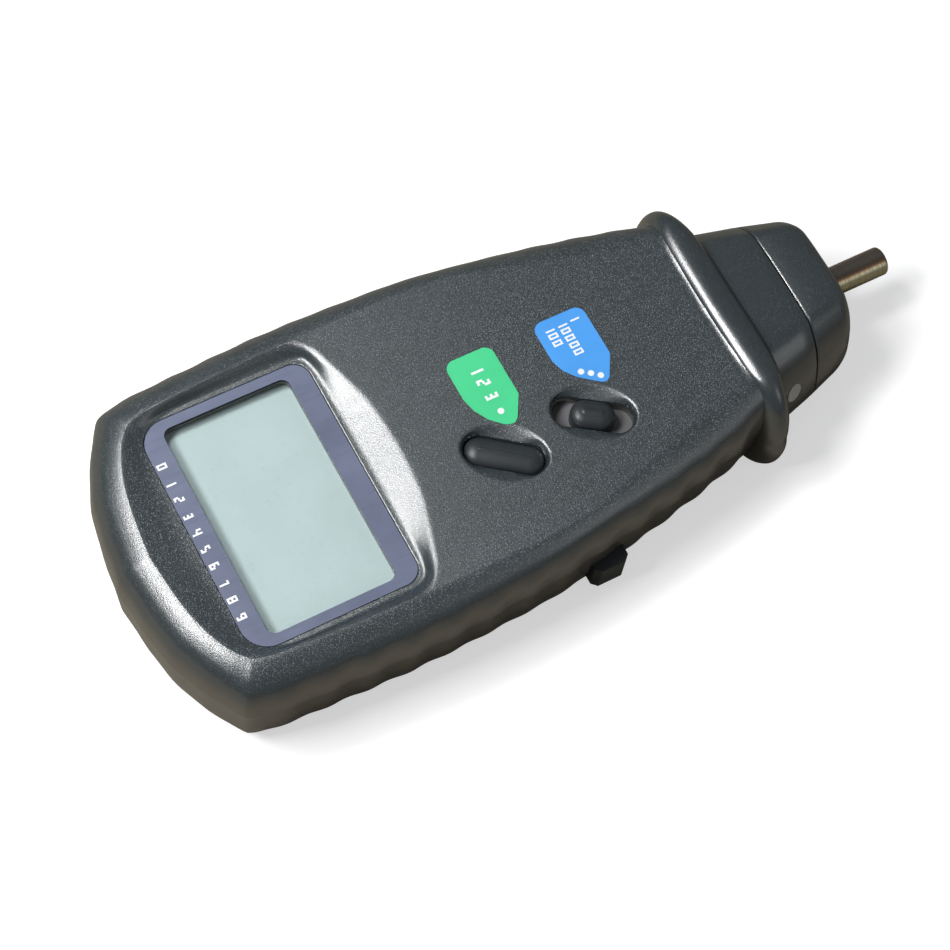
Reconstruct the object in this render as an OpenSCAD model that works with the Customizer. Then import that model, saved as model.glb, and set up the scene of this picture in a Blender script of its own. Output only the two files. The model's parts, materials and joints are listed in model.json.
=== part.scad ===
// Contact tachometer, a hand-held meter that is pressed on a turning shaft.
// It lies on its back: the spindle points along +Y, the display faces +Z.

/* [Case] */
// Width across the widest part of the case
case_w = 76.8; // [72:0.2:82]
// Length of the case from the display end to the collar
case_l = 135.3; // [132:0.1:140]
// Height of the face above the back
case_h = 28.3; // [28:0.1:30]
// Height of the joint line between the two shells
joint_h = 14; // [13:0.5:15]
// Thickness of the shell walls
wall = 2.4; // [2.1:0.1:2.7]
// How far the face edge stands in from the side
edge_in = 7.5; // [7:0.1:8]
// Depth of the rounded band below the face
edge_drop = 10.3; // [9.5:0.1:12]
// How far the flat back stands in from the side
back_in = 5.2; // [4.6:0.1:5.6]
// Depth of the finger flutes in the side band
flute_depth = 0.6; // [0.2:0.1:1]
// Number of flutes along each half of the outline
flute_count = 18; // [12:1:20]

/* [Collar and neck] */
// Length of the collar ridge along the case
collar_l = 7.9; // [7:0.1:9]
// Width across the collar ridge
collar_w = 59.8; // [57:0.2:62]
// Rise of the collar ridge above the face
collar_rise = 1.7; // [1:0.1:2.5]
// How far the middle of the ridge bows towards the display
collar_bow = 0.8; // [0:0.1:1.4]
// Length of the neck from the collar to the cap
neck_l = 11.3; // [10:0.1:13]
// Width of the neck beside the collar
neck_w = 46.2; // [44:0.2:49]
// Width of the neck beside the cap
neck_end_w = 39.8; // [38:0.2:42]
// Height of the neck's top above the back
neck_h = 27.6; // [27:0.1:28]
// Height of the neck's underside above the back
neck_lift = 0.8; // [0.4:0.1:1.2]

/* [End cap] */
// Length of the end cap
cap_l = 11.6; // [10.5:0.1:13]
// Width of the cap at its front
cap_w = 32; // [31:0.2:34]
// Height of the cap's top above the back
cap_h = 27; // [26.6:0.1:27.4]
// Wall of the end cap
cap_wall = 2; // [1.7:0.1:2.2]

/* [Spindle] */
// Diameter of the spindle's free end
shaft_d = 6.5; // [6:0.1:6.8]
// Diameter of the spindle inside the case
journal_d = 7; // [6.9:0.1:7.4]
// Length of spindle that stands out of the cap
shaft_out = 17.9; // [14:0.1:24]
// Height of the spindle's axis above the back
shaft_h = 12.4; // [12:0.1:13]
// Radial running clearance of the spindle in its bushes
shaft_fit = 0.04; // [0.02:0.01:0.08]
// Diameter of the slotted disc
disc_d = 17.2; // [15:0.2:17.6]
// Number of slots in the disc
disc_slots = 12; // [6:1:16]

/* [Display] */
// Width of the window
lens_w = 54.5; // [52:0.5:55]
// Length of the window along the case
lens_l = 38; // [36:0.5:39]
// Thickness of the window
lens_t = 1.5; // [1.2:0.1:1.7]
// Distance from the display end to the window
lens_from_end = 16.7; // [16.2:0.1:17.4]
// Depth of the dished surround below the face
bowl_depth = 2.1; // [1.7:0.1:2.3]
// Width of the clear part of the window
view_w = 50.3; // [46:0.1:50.6]
// Length of the clear part of the window
view_l = 28.9; // [26:0.1:30]

/* [Controls] */
// Width of the slots for the memory button and the mode knob
slot_w = 6.9; // [6.4:0.1:7.2]
// Depth of the dishes round the two slots
dish_depth = 1.5; // [1.2:0.1:2]
// Width of the dishes beside their slots
dish_rim = 2.9; // [2:0.1:3]
// Length of the dishes beyond the ends of their slots
dish_end = 0.6; // [0.4:0.1:1]
// Length of the memory button's slot
memory_l = 17.3; // [16:0.1:19]
// Direction of the memory button, from across the case
memory_turn = 52.3; // [48:0.1:58]
// Length of the mode knob's slot
mode_l = 17.1; // [16.6:0.1:18]
// Direction of the mode knob's slide, from across the case
mode_turn = 55.4; // [50:0.1:60]
// Length of the mode knob
knob_l = 9.5; // [8.8:0.1:10]
// Distance the controls stand from the middle of the face
control_x = 10.8; // [10.4:0.1:11.6]
// Distance from the collar to the mode knob
mode_back = 33; // [32:0.1:34]
// Distance from the mode knob to the memory button
control_pitch = 20.8; // [20:0.1:21.4]
// Length of the measure key along the side
key_l = 8; // [7:0.1:9]
// Height of the measure key
key_h = 7.6; // [7:0.1:8]
// How far the measure key stands out of the side
key_out = 2.6; // [2:0.1:3]
// Travel of the memory button
memory_travel = 0.5; // [0.3:0.1:0.5]
// Travel of the measure key
key_travel = 0.8; // [0.4:0.1:0.8]

/* [Battery] */
// Diameter of a cell
cell_d = 14.3; // [13.8:0.1:14.4]
// Length of a cell
cell_l = 50; // [48:0.1:50.5]
// Width of the battery cover
cover_w = 60; // [59:0.2:60.6]
// Length of the battery cover from the display end
cover_l = 72; // [71:0.2:73]

/* [Hidden] */
$fn = 32;

// Colours
body_tone = [0.20, 0.23, 0.25];
knob_tone = [0.17, 0.19, 0.21];
steel_tone = [0.72, 0.70, 0.66];
board_tone = [0.10, 0.36, 0.22];
bronze_tone = [0.70, 0.52, 0.32];
black_tone = [0.08, 0.08, 0.09];
blue_tone = [0.30, 0.69, 0.98];
green_tone = [0.28, 0.87, 0.58];

// Places along the case, measured from the middle of the whole object
total_l = case_l + collar_l + neck_l + cap_l + shaft_out;
end_y = -total_l / 2;
collar_y = end_y + case_l;
neck_y = collar_y + collar_l;
cap_y = neck_y + neck_l;
front_y = cap_y + cap_l;
tip_y = front_y + shaft_out;

// One overrun for cuts, one small gap between fixed pieces
over = 1;
seat_gap = 0.2;
slide_gap = 0.3;

// Heights inside the case
ceiling_h = case_h - bowl_depth - lens_t - seat_gap;
belt_h = case_h - edge_drop;
cell_h = wall + cell_d / 2;
tray_wall = 1.4;
tray_h = wall + cell_d + seat_gap;
board_h = tray_h + tray_wall + seat_gap;
board_t = 1.6;
board_top = board_h + board_t;

// Outline of the case seen from above, right half, from the display end to the collar.
// Shares of half the width, and of the length from the display end.
outline_shares = [[0, 0], [0.289, 0.0096], [0.508, 0.023], [0.742, 0.0525],
    [0.885, 0.0776], [0.927, 0.0894], [0.953, 0.1146], [0.969, 0.1515], [0.987, 0.252],
    [1, 0.345], [0.996, 0.438], [0.982, 0.515], [0.961, 0.601], [0.919, 0.686],
    [0.859, 0.802], [0.771, 0.923], [0.6875, 1], [0.664, 1.022]];
// How far the face edge stands in from each of those places, as shares of edge_in
inset_shares = [[0, 0.987], [-0.147, 0.947], [-0.267, 0.907], [-0.56, 0.733],
    [-0.827, 0.653], [-0.933, 0.587], [-0.987, 0.44], [-1, 0.267], [-1, 0.053],
    [-1, 0.013], [-0.94, 0], [-0.853, -0.013], [-0.773, -0.027], [-0.733, -0.067],
    [-0.987, -0.133], [-1.147, -0.12], [-0.907, 0], [-0.813, 0]];
// The rounded band under the face: shares of the inset, shares of the drop
rim_shares = [[0, 1], [0.07, 0.62], [0.22, 0.38], [0.44, 0.2], [0.68, 0.085],
    [0.88, 0.02], [1, 0]];
// The band above the back: shares of the back's inset, shares of the joint's height
back_shares = [[1, 0], [0.77, 0.06], [0.48, 0.17], [0.23, 0.36], [0.1, 0.64],
    [0.03, 1]];
// How deep the flutes run at each step of the two bands
rim_flute_shares = [1, 0.8, 0.2, 0, 0, 0, 0];
back_flute_shares = [0, 0, 0.3, 0.8, 1, 1];

// Arches of the neck, above and below the joint line: shares of width and height
arch_shares = [[1, 0], [0.985, 0.1], [0.965, 0.2], [0.92, 0.4], [0.85, 0.6],
    [0.79, 0.72], [0.72, 0.82], [0.64, 0.91], [0.55, 0.965], [0.42, 0.985], [0.25, 0.995]];
ridge_shares = [[1, 0], [0.995, 0.1], [0.99, 0.2], [0.965, 0.4], [0.92, 0.6],
    [0.87, 0.74], [0.81, 0.85], [0.74, 0.93], [0.66, 0.97], [0.5, 0.99], [0.25, 0.997]];
keel_shares = [[1, 0], [1.02, 0.18], [1.01, 0.45], [0.98, 0.68], [0.92, 0.84],
    [0.82, 0.94], [0.68, 0.98], [0.5, 0.99], [0.35, 0.994], [0.2, 0.997], [0.1, 0.999]];

// Rim of the dished surround, right half, from the display end: shares as the outline's
bowl_shares = [[0, 0.0562], [0.266, 0.0643], [0.464, 0.0769], [0.625, 0.0968],
    [0.719, 0.1183], [0.755, 0.1552], [0.784, 0.2439], [0.797, 0.3215],
    [0.794, 0.3806], [0.763, 0.405], [0.682, 0.4213], [0.492, 0.4427],
    [0.273, 0.459], [0, 0.4642]];

// A curve through points, with steps on each stretch
function between(a, b, c, d, t) = 0.5 * (2 * b + (c - a) * t
    + (2 * a - 5 * b + 4 * c - d) * t * t + (3 * b - a - 3 * c + d) * t * t * t);
function curve(p, steps) = [for (i = [0:len(p) - 2]) for (k = [0:steps - 1])
    between(p[max(i - 1, 0)], p[i], p[i + 1], p[min(i + 2, len(p) - 1)], k / steps),
    p[len(p) - 1]];
function running(p) = [for (i = 0, s = 0; i < len(p);
    s = s + (i + 1 < len(p) ? norm(p[i + 1] - p[i]) : 0), i = i + 1) s];

// Columns along the outline, evenly spaced so that each flute takes four
plan_points = curve([for (i = [0:len(outline_shares) - 1])
    [outline_shares[i].x * case_w / 2, end_y + outline_shares[i].y * case_l,
    inset_shares[i].x * edge_in, inset_shares[i].y * edge_in]], 6);
plan_run = running([for (p = plan_points) [p.x, p.y]]);
plan_length = plan_run[len(plan_run) - 1];
flute_steps = 4;
half_columns = flute_count * flute_steps;
function plan_at(s, k) = lookup(s, [for (i = [0:len(plan_points) - 1])
    [plan_run[i], plan_points[i][k]]]);
columns = [for (k = [0:half_columns]) let (s = plan_length * k / half_columns)
    [plan_at(s, 0), plan_at(s, 1), plan_at(s, 2), plan_at(s, 3),
    (1 - cos(360 * k / flute_steps)) / 2 * flute_depth / edge_in]];
coarse_columns = [for (k = [0:flute_steps:half_columns]) columns[k]];

// One closed outline, moved in by a share of the inset, at one height
function ring_point(c, share, flute) = let (s = share + flute * c[4])
    [c[0] + s * c[2], c[1] + s * c[3]];
function plan_ring(list, share, flute, z, limit_y) =
    let (half = [for (c = list) ring_point(c, share, flute)], n = len(half))
    [for (i = [n - 1:-1:1]) [half[i].x, min(half[i].y, limit_y), z],
    for (i = [0:n - 1]) [i == 0 ? 0 : -half[i].x, min(half[i].y, limit_y), z]];

// The flat back runs straight between a few of the columns and dips in between them, so
// that the case stands on its corners
back_corners = [16, 32, 72];
back_dip_share = 0.01;
back_places = [for (k = back_corners) ring_point(columns[k], back_shares[0].x * back_in / edge_in, 0)];
function along_back(k, axis) = lookup(k, [[0, axis * back_places[0].y],
    for (i = [0:len(back_corners) - 1]) [back_corners[i], back_places[i][axis]]]);
function back_dip(k) = 1 - back_dip_share * lookup(k, [[0, 1], [back_corners[0], 0],
    for (i = [1:len(back_corners) - 1]) each [
        [(back_corners[i - 1] + back_corners[i]) / 2, 1], [back_corners[i], 0]]]);
function back_ring(z) =
    let (half = [for (k = [0:half_columns]) back_dip(k) * [along_back(k, 0), along_back(k, 1)]])
    [for (i = [half_columns:-1:1]) [half[i].x, half[i].y, z],
    for (i = [0:half_columns]) [i == 0 ? 0 : -half[i].x, half[i].y, z]];

// A solid between closed rings of the same number of points, each seen clockwise from the
// last one. The two ends are fans about the middle of their rings.
function middle(ring) = [for (k = [0:2])
    (min([for (p = ring) p[k]]) + max([for (p = ring) p[k]])) / 2];
module loft(rings) {
    n = len(rings[0]);
    last = len(rings) - 1;
    start = n * len(rings);
    polyhedron(points = concat([for (r = rings) for (p = r) p],
            [middle(rings[0]), middle(rings[last])]),
        faces = concat([for (i = [0:n - 1]) [i, start, (i + 1) % n]],
            [for (i = [0:n - 1]) [last * n + i, last * n + (i + 1) % n, start + 1]],
            [for (j = [0:last - 1]) for (i = [0:n - 1]) let (k = (i + 1) % n)
                each [[j * n + i, (j + 1) * n + k, (j + 1) * n + i],
                [j * n + i, j * n + k, (j + 1) * n + k]]]));
}

// Half of a section across the neck, with its flat on the joint line
function arch_ring(shares, half_w, rise, y, bow) = [for (p = shares)
    [p.x * half_w, y + bow * (p.x - 1), joint_h + p.y * rise],
    [0, y - bow, joint_h + rise],
    for (i = [len(shares) - 1:-1:0]) let (p = shares[i])
    [-p.x * half_w, y + bow * (p.x - 1), joint_h + p.y * rise]];
function whole_ring(half_w, rise, drop, y) = concat(
    [for (i = [len(keel_shares) - 1:-1:1]) let (p = keel_shares[i])
        [p.x * half_w, y, joint_h - p.y * drop]],
    arch_ring(arch_shares, half_w, rise, y, 0),
    [for (i = [1:len(keel_shares) - 1]) let (p = keel_shares[i])
        [-p.x * half_w, y, joint_h - p.y * drop]]);

// Outline of a slot, a dish or a pill: straight sides and round ends
pill_steps = 12;
function pill(length, width) = let (r = width / 2, m = (length - width) / 2)
    [for (k = [0:pill_steps]) let (a = -90 + 180 * k / pill_steps) [m + r * cos(a), r * sin(a)],
    for (k = [0:pill_steps]) let (a = 90 + 180 * k / pill_steps) [-m + r * cos(a), r * sin(a)]];
// An oval with as many points as a pill, none of them at the two ends of its width
oval_share = 0.92;
function oval(length, width) = [for (s = [0, 180]) for (k = [0:pill_steps])
    let (a = s + (-90 + 180 * k / pill_steps) * oval_share) [length / 2 * cos(a), width / 2 * sin(a)]];
function at_height(points, z) = [for (i = [len(points) - 1:-1:0]) [points[i].x, points[i].y, z]];
module pill_prism(length, width, low, high) {
    translate([0, 0, low]) linear_extrude(high - low) polygon(pill(length, width));
}

// A block that is centred in x and y and starts at a height
module block(size, low) {
    translate([-size.x / 2, -size.y / 2, low]) cube(size);
}
// A rod along the case, from one place to another, on the spindle's axis
module rod(d, from, to) {
    translate([0, from, shaft_h]) rotate([-90, 0, 0]) cylinder(h = to - from, d = d);
}
module both_sides() {
    children();
    mirror([1, 0, 0]) children();
}

// Upper and lower bodies of the case, without the neck
module upper_body() {
    loft([plan_ring(columns, back_shares[5].x * back_in / edge_in, 1, joint_h, tip_y),
        for (i = [0:len(rim_shares) - 1]) plan_ring(columns, rim_shares[i].x,
            rim_flute_shares[i], case_h - rim_shares[i].y * edge_drop, tip_y)]);
}
module lower_body() {
    loft([back_ring(0), for (i = [1:len(back_shares) - 1]) plan_ring(columns,
        back_shares[i].x * back_in / edge_in, back_flute_shares[i],
        back_shares[i].y * joint_h, tip_y)]);
}
// The wall's own share of the inset, with what each height adds
wall_share = wall / edge_in;
upper_cavity_shares = [[0.04, 0], [0.04, 0.5], [0.12, 0.8], [0.32, 1]];
lower_cavity_shares = [[0.28, 0], [0.12, 0.25], [0.04, 1]];
module upper_cavity() {
    loft([for (i = [0:len(upper_cavity_shares) - 1]) let (c = upper_cavity_shares[i])
        plan_ring(coarse_columns, wall_share + c.x, 0,
            joint_h - (i == 0 ? over : 0) + c.y * (ceiling_h - joint_h), collar_y + wall / 2)]);
}
module lower_cavity() {
    loft([for (i = [0:len(lower_cavity_shares) - 1]) let (c = lower_cavity_shares[i])
        plan_ring(coarse_columns, wall_share + c.x, 0,
            wall + c.y * (joint_h - wall) + (c.y == 1 ? over : 0), collar_y + wall / 2)]);
}

// Steps along the collar ridge and the neck: a place from -1 to 1 across the ridge
ridge_steps = [-0.97, -0.8, -0.5, 0, 0.5, 0.8, 0.97];
collar_foot_w = 50;
neck_mid_share = 0.4;
function ridge_swell(u) = sqrt(1 - u * u);
function ridge_foot(u) = (collar_foot_w * (1 - u) + neck_w * (1 + u)) / 4;
function ridge_half_w(u) = ridge_foot(u) + (collar_w / 2 - ridge_foot(u)) * ridge_swell(u);
function ridge_height(u, foot, crest) = foot + (crest - foot) * ridge_swell(u);
function ridge_mix(u) = [for (i = [0:len(arch_shares) - 1])
    arch_shares[i] + (ridge_shares[i] - arch_shares[i]) * ridge_swell(u)];
chamfer = 0.5;
function neck_half_w(t) = (neck_w + (neck_end_w - neck_w) * t) / 2;
module neck_half(shares_up, side) {
    top = side > 0 ? neck_h - joint_h : neck_lift - joint_h;
    crest = side > 0 ? case_h + collar_rise - joint_h : neck_lift - joint_h;
    rings = [for (u = ridge_steps) arch_ring(side > 0 ? ridge_mix(u) : keel_shares,
            ridge_half_w(u), ridge_height(u, top, crest),
            collar_y + (1 + u) / 2 * collar_l, u == ridge_steps[0] ? 0 : collar_bow * ridge_swell(u)),
        arch_ring(shares_up, neck_half_w(neck_mid_share), top, neck_y + neck_mid_share * neck_l, 0),
        arch_ring(shares_up, neck_half_w(1), top, cap_y - chamfer, 0),
        arch_ring(shares_up, neck_half_w(1) - chamfer, top - side * chamfer,
            cap_y - seat_gap / 2, 0)];
    loft(side > 0 ? rings : [for (r = rings) [for (i = [len(r) - 1:-1:0]) r[i]]]);
}
// Hollow of the neck, and the spigot that the cap slips over
spigot_l = 4.5;
spigot_wall = 1.6;
cap_slope = (neck_end_w - cap_w) / 2 / cap_l;
module neck_tube(side, shrink, from, to, from_w, to_w, from_top, to_top) {
    shares = side > 0 ? arch_shares : keel_shares;
    rings = [arch_ring(shares, from_w - shrink, from_top - side * shrink, from, 0),
        arch_ring(shares, to_w - shrink, to_top - side * shrink, to, 0)];
    loft(side > 0 ? rings : [for (r = rings) [for (i = [len(r) - 1:-1:0]) r[i]]]);
}
module spigot(side, shrink, extra) {
    top = side > 0 ? cap_h - joint_h : neck_lift - joint_h;
    neck_tube(side, shrink, cap_y - wall - extra, cap_y + spigot_l + extra,
        neck_end_w / 2, neck_end_w / 2 - cap_slope * spigot_l, top, top);
}
module neck_hollow(side) {
    top = side > 0 ? neck_h - joint_h : neck_lift - joint_h;
    union() {
        neck_tube(side, wall, collar_y - wall, cap_y - wall, neck_w / 2, neck_end_w / 2, top, top);
        spigot(side, cap_wall + seat_gap + spigot_wall, over);
    }
}

// The dished surround of the display: a cut from the face down to a flat floor
bowl_margin = 1.3;
bowl_floor_h = case_h - bowl_depth;
lens_y = end_y + lens_from_end + lens_l / 2;
bowl_steps = 72;
bowl_line = curve([for (s = bowl_shares) [s.x * case_w / 2, end_y + s.y * case_l - lens_y]], 5);
bowl_table = [for (i = [0:len(bowl_line) - 1]) let (p = bowl_line[i])
    [atan2(p.y, p.x), norm(p)]];
bowl_foot = 5.2;
bowl_square_top = 12;
bowl_square_foot = 5;
function floor_radius(a) = let (half_w = lens_w / 2 + bowl_margin,
    half_l = lens_l / 2 + (sin(a) < 0 ? bowl_foot : bowl_margin),
    n = sin(a) < 0 ? bowl_square_foot : bowl_square_top)
    pow(pow(abs(cos(a)) / half_w, n) + pow(abs(sin(a)) / half_l, n), -1 / n);
function bowl_side(a) = a > 90 ? 180 - a : a;
function bowl_ring(rise) = [for (k = [bowl_steps:-1:1])
    let (a = -90 + 360 * (k - 0.5) / bowl_steps, low = floor_radius(a),
        r = low + (lookup(bowl_side(a), bowl_table) - low) * rise / bowl_depth)
    [r * cos(a), lens_y + r * sin(a), bowl_floor_h + rise]];
module bowl() {
    loft([bowl_ring(0), bowl_ring(bowl_depth + over)]);
}

// Window outlines, with smaller corners towards the collar
lens_head_r = 3.8;
lens_end_r = 5.8;
corner_steps = 6;
function corner(cx, cy, r, start) = [for (k = [0:corner_steps])
    let (a = start + 90 * k / corner_steps) [cx + r * cos(a), cy + r * sin(a)]];
function rounded(w, l, head_r, end_r) = concat(
    corner(w / 2 - head_r, l / 2 - head_r, head_r, 0),
    corner(-w / 2 + head_r, l / 2 - head_r, head_r, 90),
    corner(-w / 2 + end_r, -l / 2 + end_r, end_r, 180),
    corner(w / 2 - end_r, -l / 2 + end_r, end_r, 270));
module at_window() {
    translate([0, lens_y, 0]) children();
}
lens_gap = 0.15;
view_r = 2;
skirt_wall = 1.6;
glass_top = ceiling_h - lens_t;
skirt_h = glass_top + seat_gap;

// Places of the two face controls
mode_y = collar_y - mode_back;
memory_y = mode_y - control_pitch;
module at_mode() {
    translate([control_x, mode_y, 0]) rotate([0, 0, mode_turn]) children();
}
module at_memory() {
    translate([control_x, memory_y, 0]) rotate([0, 0, memory_turn]) children();
}
dish_floor_h = case_h - dish_depth;
module slot_and_dish(length) {
    grow = 2 * (dish_depth + over) / dish_depth;
    loft([at_height(pill(length, slot_w), ceiling_h - over),
        at_height(pill(length, slot_w), dish_floor_h),
        at_height(oval(length + grow * dish_end, slot_w + grow * dish_rim), case_h + over)]);
}

// Screws that hold the shells together
screw_d = 2.6;
screw_head_d = 5.2;
screw_head_h = 2;
screw_seat_h = 5;
screw_l = 15;
post_d = 6.8;
screw_in = 10.4;
screw_x = case_w / 2 - screw_in;
head_screw_x = 17;
head_screw_back = 10.3;
cover_screw_gap = 6;
screw_places = [[screw_x, end_y + cover_l + cover_screw_gap],
    [-screw_x, end_y + cover_l + cover_screw_gap],
    [head_screw_x, collar_y - head_screw_back], [-head_screw_x, collar_y - head_screw_back]];

// Screws that hold the main board under the face
board_screw_d = 2;
board_post_d = 4.8;
board_screw_l = 5;
board_end_in = 9;
board_head_back = 11.3;
board_end_y = end_y + board_end_in;
board_head_y = collar_y - board_head_back;
board_screw_x = 24;
board_screw_in = 2.2;
side_post_x = 16.8;
head_post_x = 8.2;
head_post_back = 7.2;
board_screw_places = [[board_screw_x, board_end_y + board_screw_in],
    [-board_screw_x, board_end_y + board_screw_in],
    [-side_post_x, memory_y], [-head_post_x, board_head_y - head_post_back],
    [head_post_x, board_head_y - head_post_back]];

// The hanging shelf for the sensor board, over the slotted disc
disc_back = 0.4;
disc_y = collar_y - disc_back;
disc_t = 0.8;
sensor_w = 16;
sensor_l = 14;
sensor_t = 1.2;
sensor_lift = 2.2;
sensor_h = shaft_h + disc_d / 2 + sensor_lift;

module top_case() {
    color(body_tone) {
        difference() {
            union() {
                upper_body();
                neck_half(arch_shares, 1);
                spigot(1, cap_wall + seat_gap, 0);
            }
            upper_cavity();
            neck_hollow(1);
            bowl();
            at_window() translate([0, 0, bowl_floor_h - lens_t]) linear_extrude(lens_t + over)
                polygon(rounded(lens_w, lens_l, lens_head_r, lens_end_r));
            at_window() translate([0, 0, ceiling_h - over]) linear_extrude(lens_t + over)
                polygon(rounded(view_w, view_l, view_r, view_r));
            at_mode() slot_and_dish(mode_l);
            at_memory() slot_and_dish(memory_l);
        }
        // Skirt that closes the view down to the glass
        at_window() translate([0, 0, skirt_h]) linear_extrude(ceiling_h - skirt_h + seat_gap / 2)
            difference() {
                square([lens_w + 2 * skirt_wall, lens_l + 2 * skirt_wall], center = true);
                polygon(rounded(view_w, view_l, view_r, view_r));
            }
        // Screw posts
        for (p = screw_places) translate([p.x, p.y, joint_h]) difference() {
            cylinder(h = ceiling_h - joint_h + seat_gap, d = post_d);
            translate([0, 0, -over]) cylinder(h = screw_l - screw_seat_h + over,
                d = screw_d + seat_gap / 2);
        }
        for (p = board_screw_places) translate([p.x, p.y, board_top]) difference() {
            cylinder(h = ceiling_h - board_top + seat_gap, d = board_post_d);
            translate([0, 0, -over]) cylinder(h = board_screw_l - board_t + 2 * over,
                d = board_screw_d + seat_gap / 2);
        }
    }
}

// Battery tray, part of the lower shell
cell_count = 4;
tray_slack = 3.4;
tray_back = 3.4;
tray_in_w = cell_count * cell_d + 2 * seat_gap;
tray_in_l = cell_l + tray_slack;
tray_y = end_y + cover_l - tray_back - tray_in_l / 2;
side_reach = 4.4;
tray_reach_w = case_w - 2 * side_reach;
flange_h = 0.8;
flange_w = 1.8;
flange_in = 3;
flange_top = wall + slide_gap + flange_h;
lip_top = flange_top + slide_gap;
lip_l = 13.4;
module battery_tray() {
    foot_h = flange_top + slide_gap;
    both_sides() translate([tray_in_w / 2, tray_y - tray_in_l / 2, foot_h])
        cube([tray_wall, tray_in_l, tray_h + tray_wall - foot_h]);
    for (s = [-1, 1]) translate([0, tray_y + s * (tray_in_l + tray_wall) / 2, 0]) {
        block([tray_reach_w, tray_wall, joint_h - foot_h - seat_gap], foot_h);
        block([tray_in_w + 2 * tray_wall, tray_wall, tray_h + tray_wall - foot_h], foot_h);
        block([tray_in_w - 4 * flange_w, tray_wall, foot_h - wall + over], wall + seat_gap);
    }
    translate([0, tray_y, 0]) block([tray_in_w + 2 * tray_wall, tray_in_l + 2 * tray_wall,
        tray_wall], tray_h);
}

// The measure key's place on the right side
key_from_screw = 16.7;
key_y = end_y + cover_l + cover_screw_gap + key_from_screw;
key_mid_h = 7.4;
key_side_x = lookup(key_y, [for (p = plan_points) [p.y, p.x]]) - flute_depth / 2;
key_flange = 1.1;
key_lead = 0.7;
key_seat_x = key_side_x - wall - key_lead;
key_board_t = 1.6;
key_switch_t = 2.8;
key_tip_x = key_seat_x - key_flange;
key_board_x = key_tip_x - key_travel - seat_gap - key_switch_t - key_board_t;
key_board_l = 14;
key_board_h = 10;
key_board_low = wall + seat_gap;
guide_w = 1.6;

// Cradle ribs that carry the bearing block
block_d = 17.2;
block_back = 3.2;
block_clear = 1.7;
block_from = neck_y - block_back;
block_to = front_y - cap_wall - block_clear;
cradle_w = 26;
cradle_t = 2;
cradle_in = 3;
cradle_places = [block_from + cradle_in, cap_y - wall];

module bottom_case() {
    color(body_tone) {
        difference() {
            union() {
                difference() {
                    union() {
                        lower_body();
                        neck_half(keel_shares, -1);
                        spigot(-1, cap_wall + seat_gap, 0);
                    }
                    lower_cavity();
                    neck_hollow(-1);
                }
                battery_tray();
                for (p = screw_places) translate([p.x, p.y, wall / 2])
                    cylinder(h = joint_h - wall / 2 - seat_gap / 2, d = post_d);
                for (y = cradle_places) translate([0, y, 0])
                    block([cradle_w, cradle_t, shaft_h - wall], wall);
                for (s = [-1, 1]) translate([key_board_x + key_board_t / 2,
                    key_y + s * key_board_l / 2, wall / 2])
                    block([key_board_t + 2 * guide_w, guide_w, key_board_h], 0);
            }
            // Opening of the battery cover, out through the display end
            translate([0, end_y + cover_l / 2, 0])
                block([cover_w + 2 * slide_gap, cover_l + 2 * slide_gap, wall + slide_gap + over], -over);
            translate([0, end_y, 0]) block([case_w, 2 * lip_l, lip_top + over], -over);
            // Track that lets the cover's flanges out past the corners
            translate([0, end_y + lip_l + flange_in / 2, 0])
                block([cover_w + 2 * flange_w, flange_in + 2 * over, lip_top - wall - seat_gap],
                    wall + seat_gap / 2);
            // Holes for the case screws, from the back
            for (p = screw_places) translate([p.x, p.y, 0]) {
                translate([0, 0, -over])
                    cylinder(h = screw_seat_h + over, d = screw_head_d + 2 * slide_gap);
                translate([0, 0, -over]) cylinder(h = case_h, d = screw_d + slide_gap);
            }
            rod(block_d + seat_gap, block_from - over, block_to + over);
            // Hole for the measure key
            translate([key_tip_x - slide_gap, key_y - key_l / 2 - slide_gap,
                key_mid_h - key_h / 2 - slide_gap])
                cube([case_w, key_l + 2 * slide_gap, key_h + 2 * slide_gap]);
            // Slots for the key board
            translate([key_board_x - seat_gap / 2, key_y - key_board_l / 2 - seat_gap / 2,
                key_board_low - seat_gap / 2])
                cube([key_board_t + seat_gap, key_board_l + seat_gap, key_board_h]);
        }
    }
}

module end_cap() {
    rise = cap_h - joint_h;
    drop = joint_h - neck_lift;
    round_in = 0.9;
    function cap_half_w(y) = neck_end_w / 2 - cap_slope * (y - cap_y);
    start_y = cap_y + seat_gap / 2;
    color(body_tone) difference() {
        loft([whole_ring(cap_half_w(start_y) - chamfer, neck_h - joint_h - chamfer, drop - chamfer,
                start_y),
            whole_ring(cap_half_w(cap_y + chamfer), neck_h - joint_h, drop, cap_y + chamfer),
            whole_ring(cap_half_w(front_y - round_in), rise, drop, front_y - round_in),
            whole_ring(cap_half_w(front_y) - round_in / 3, rise - round_in / 3, drop - round_in / 3,
                front_y - round_in / 3),
            whole_ring(cap_half_w(front_y) - round_in, rise - round_in, drop - round_in, front_y)]);
        loft([whole_ring(cap_half_w(cap_y - over) - cap_wall, neck_h - joint_h - cap_wall,
                drop - cap_wall, cap_y - over),
            whole_ring(cap_half_w(front_y) - cap_wall, rise - cap_wall, drop - cap_wall,
                front_y - cap_wall)]);
        rod(journal_d + 2 * slide_gap, cap_y, front_y + over);
    }
}

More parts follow.
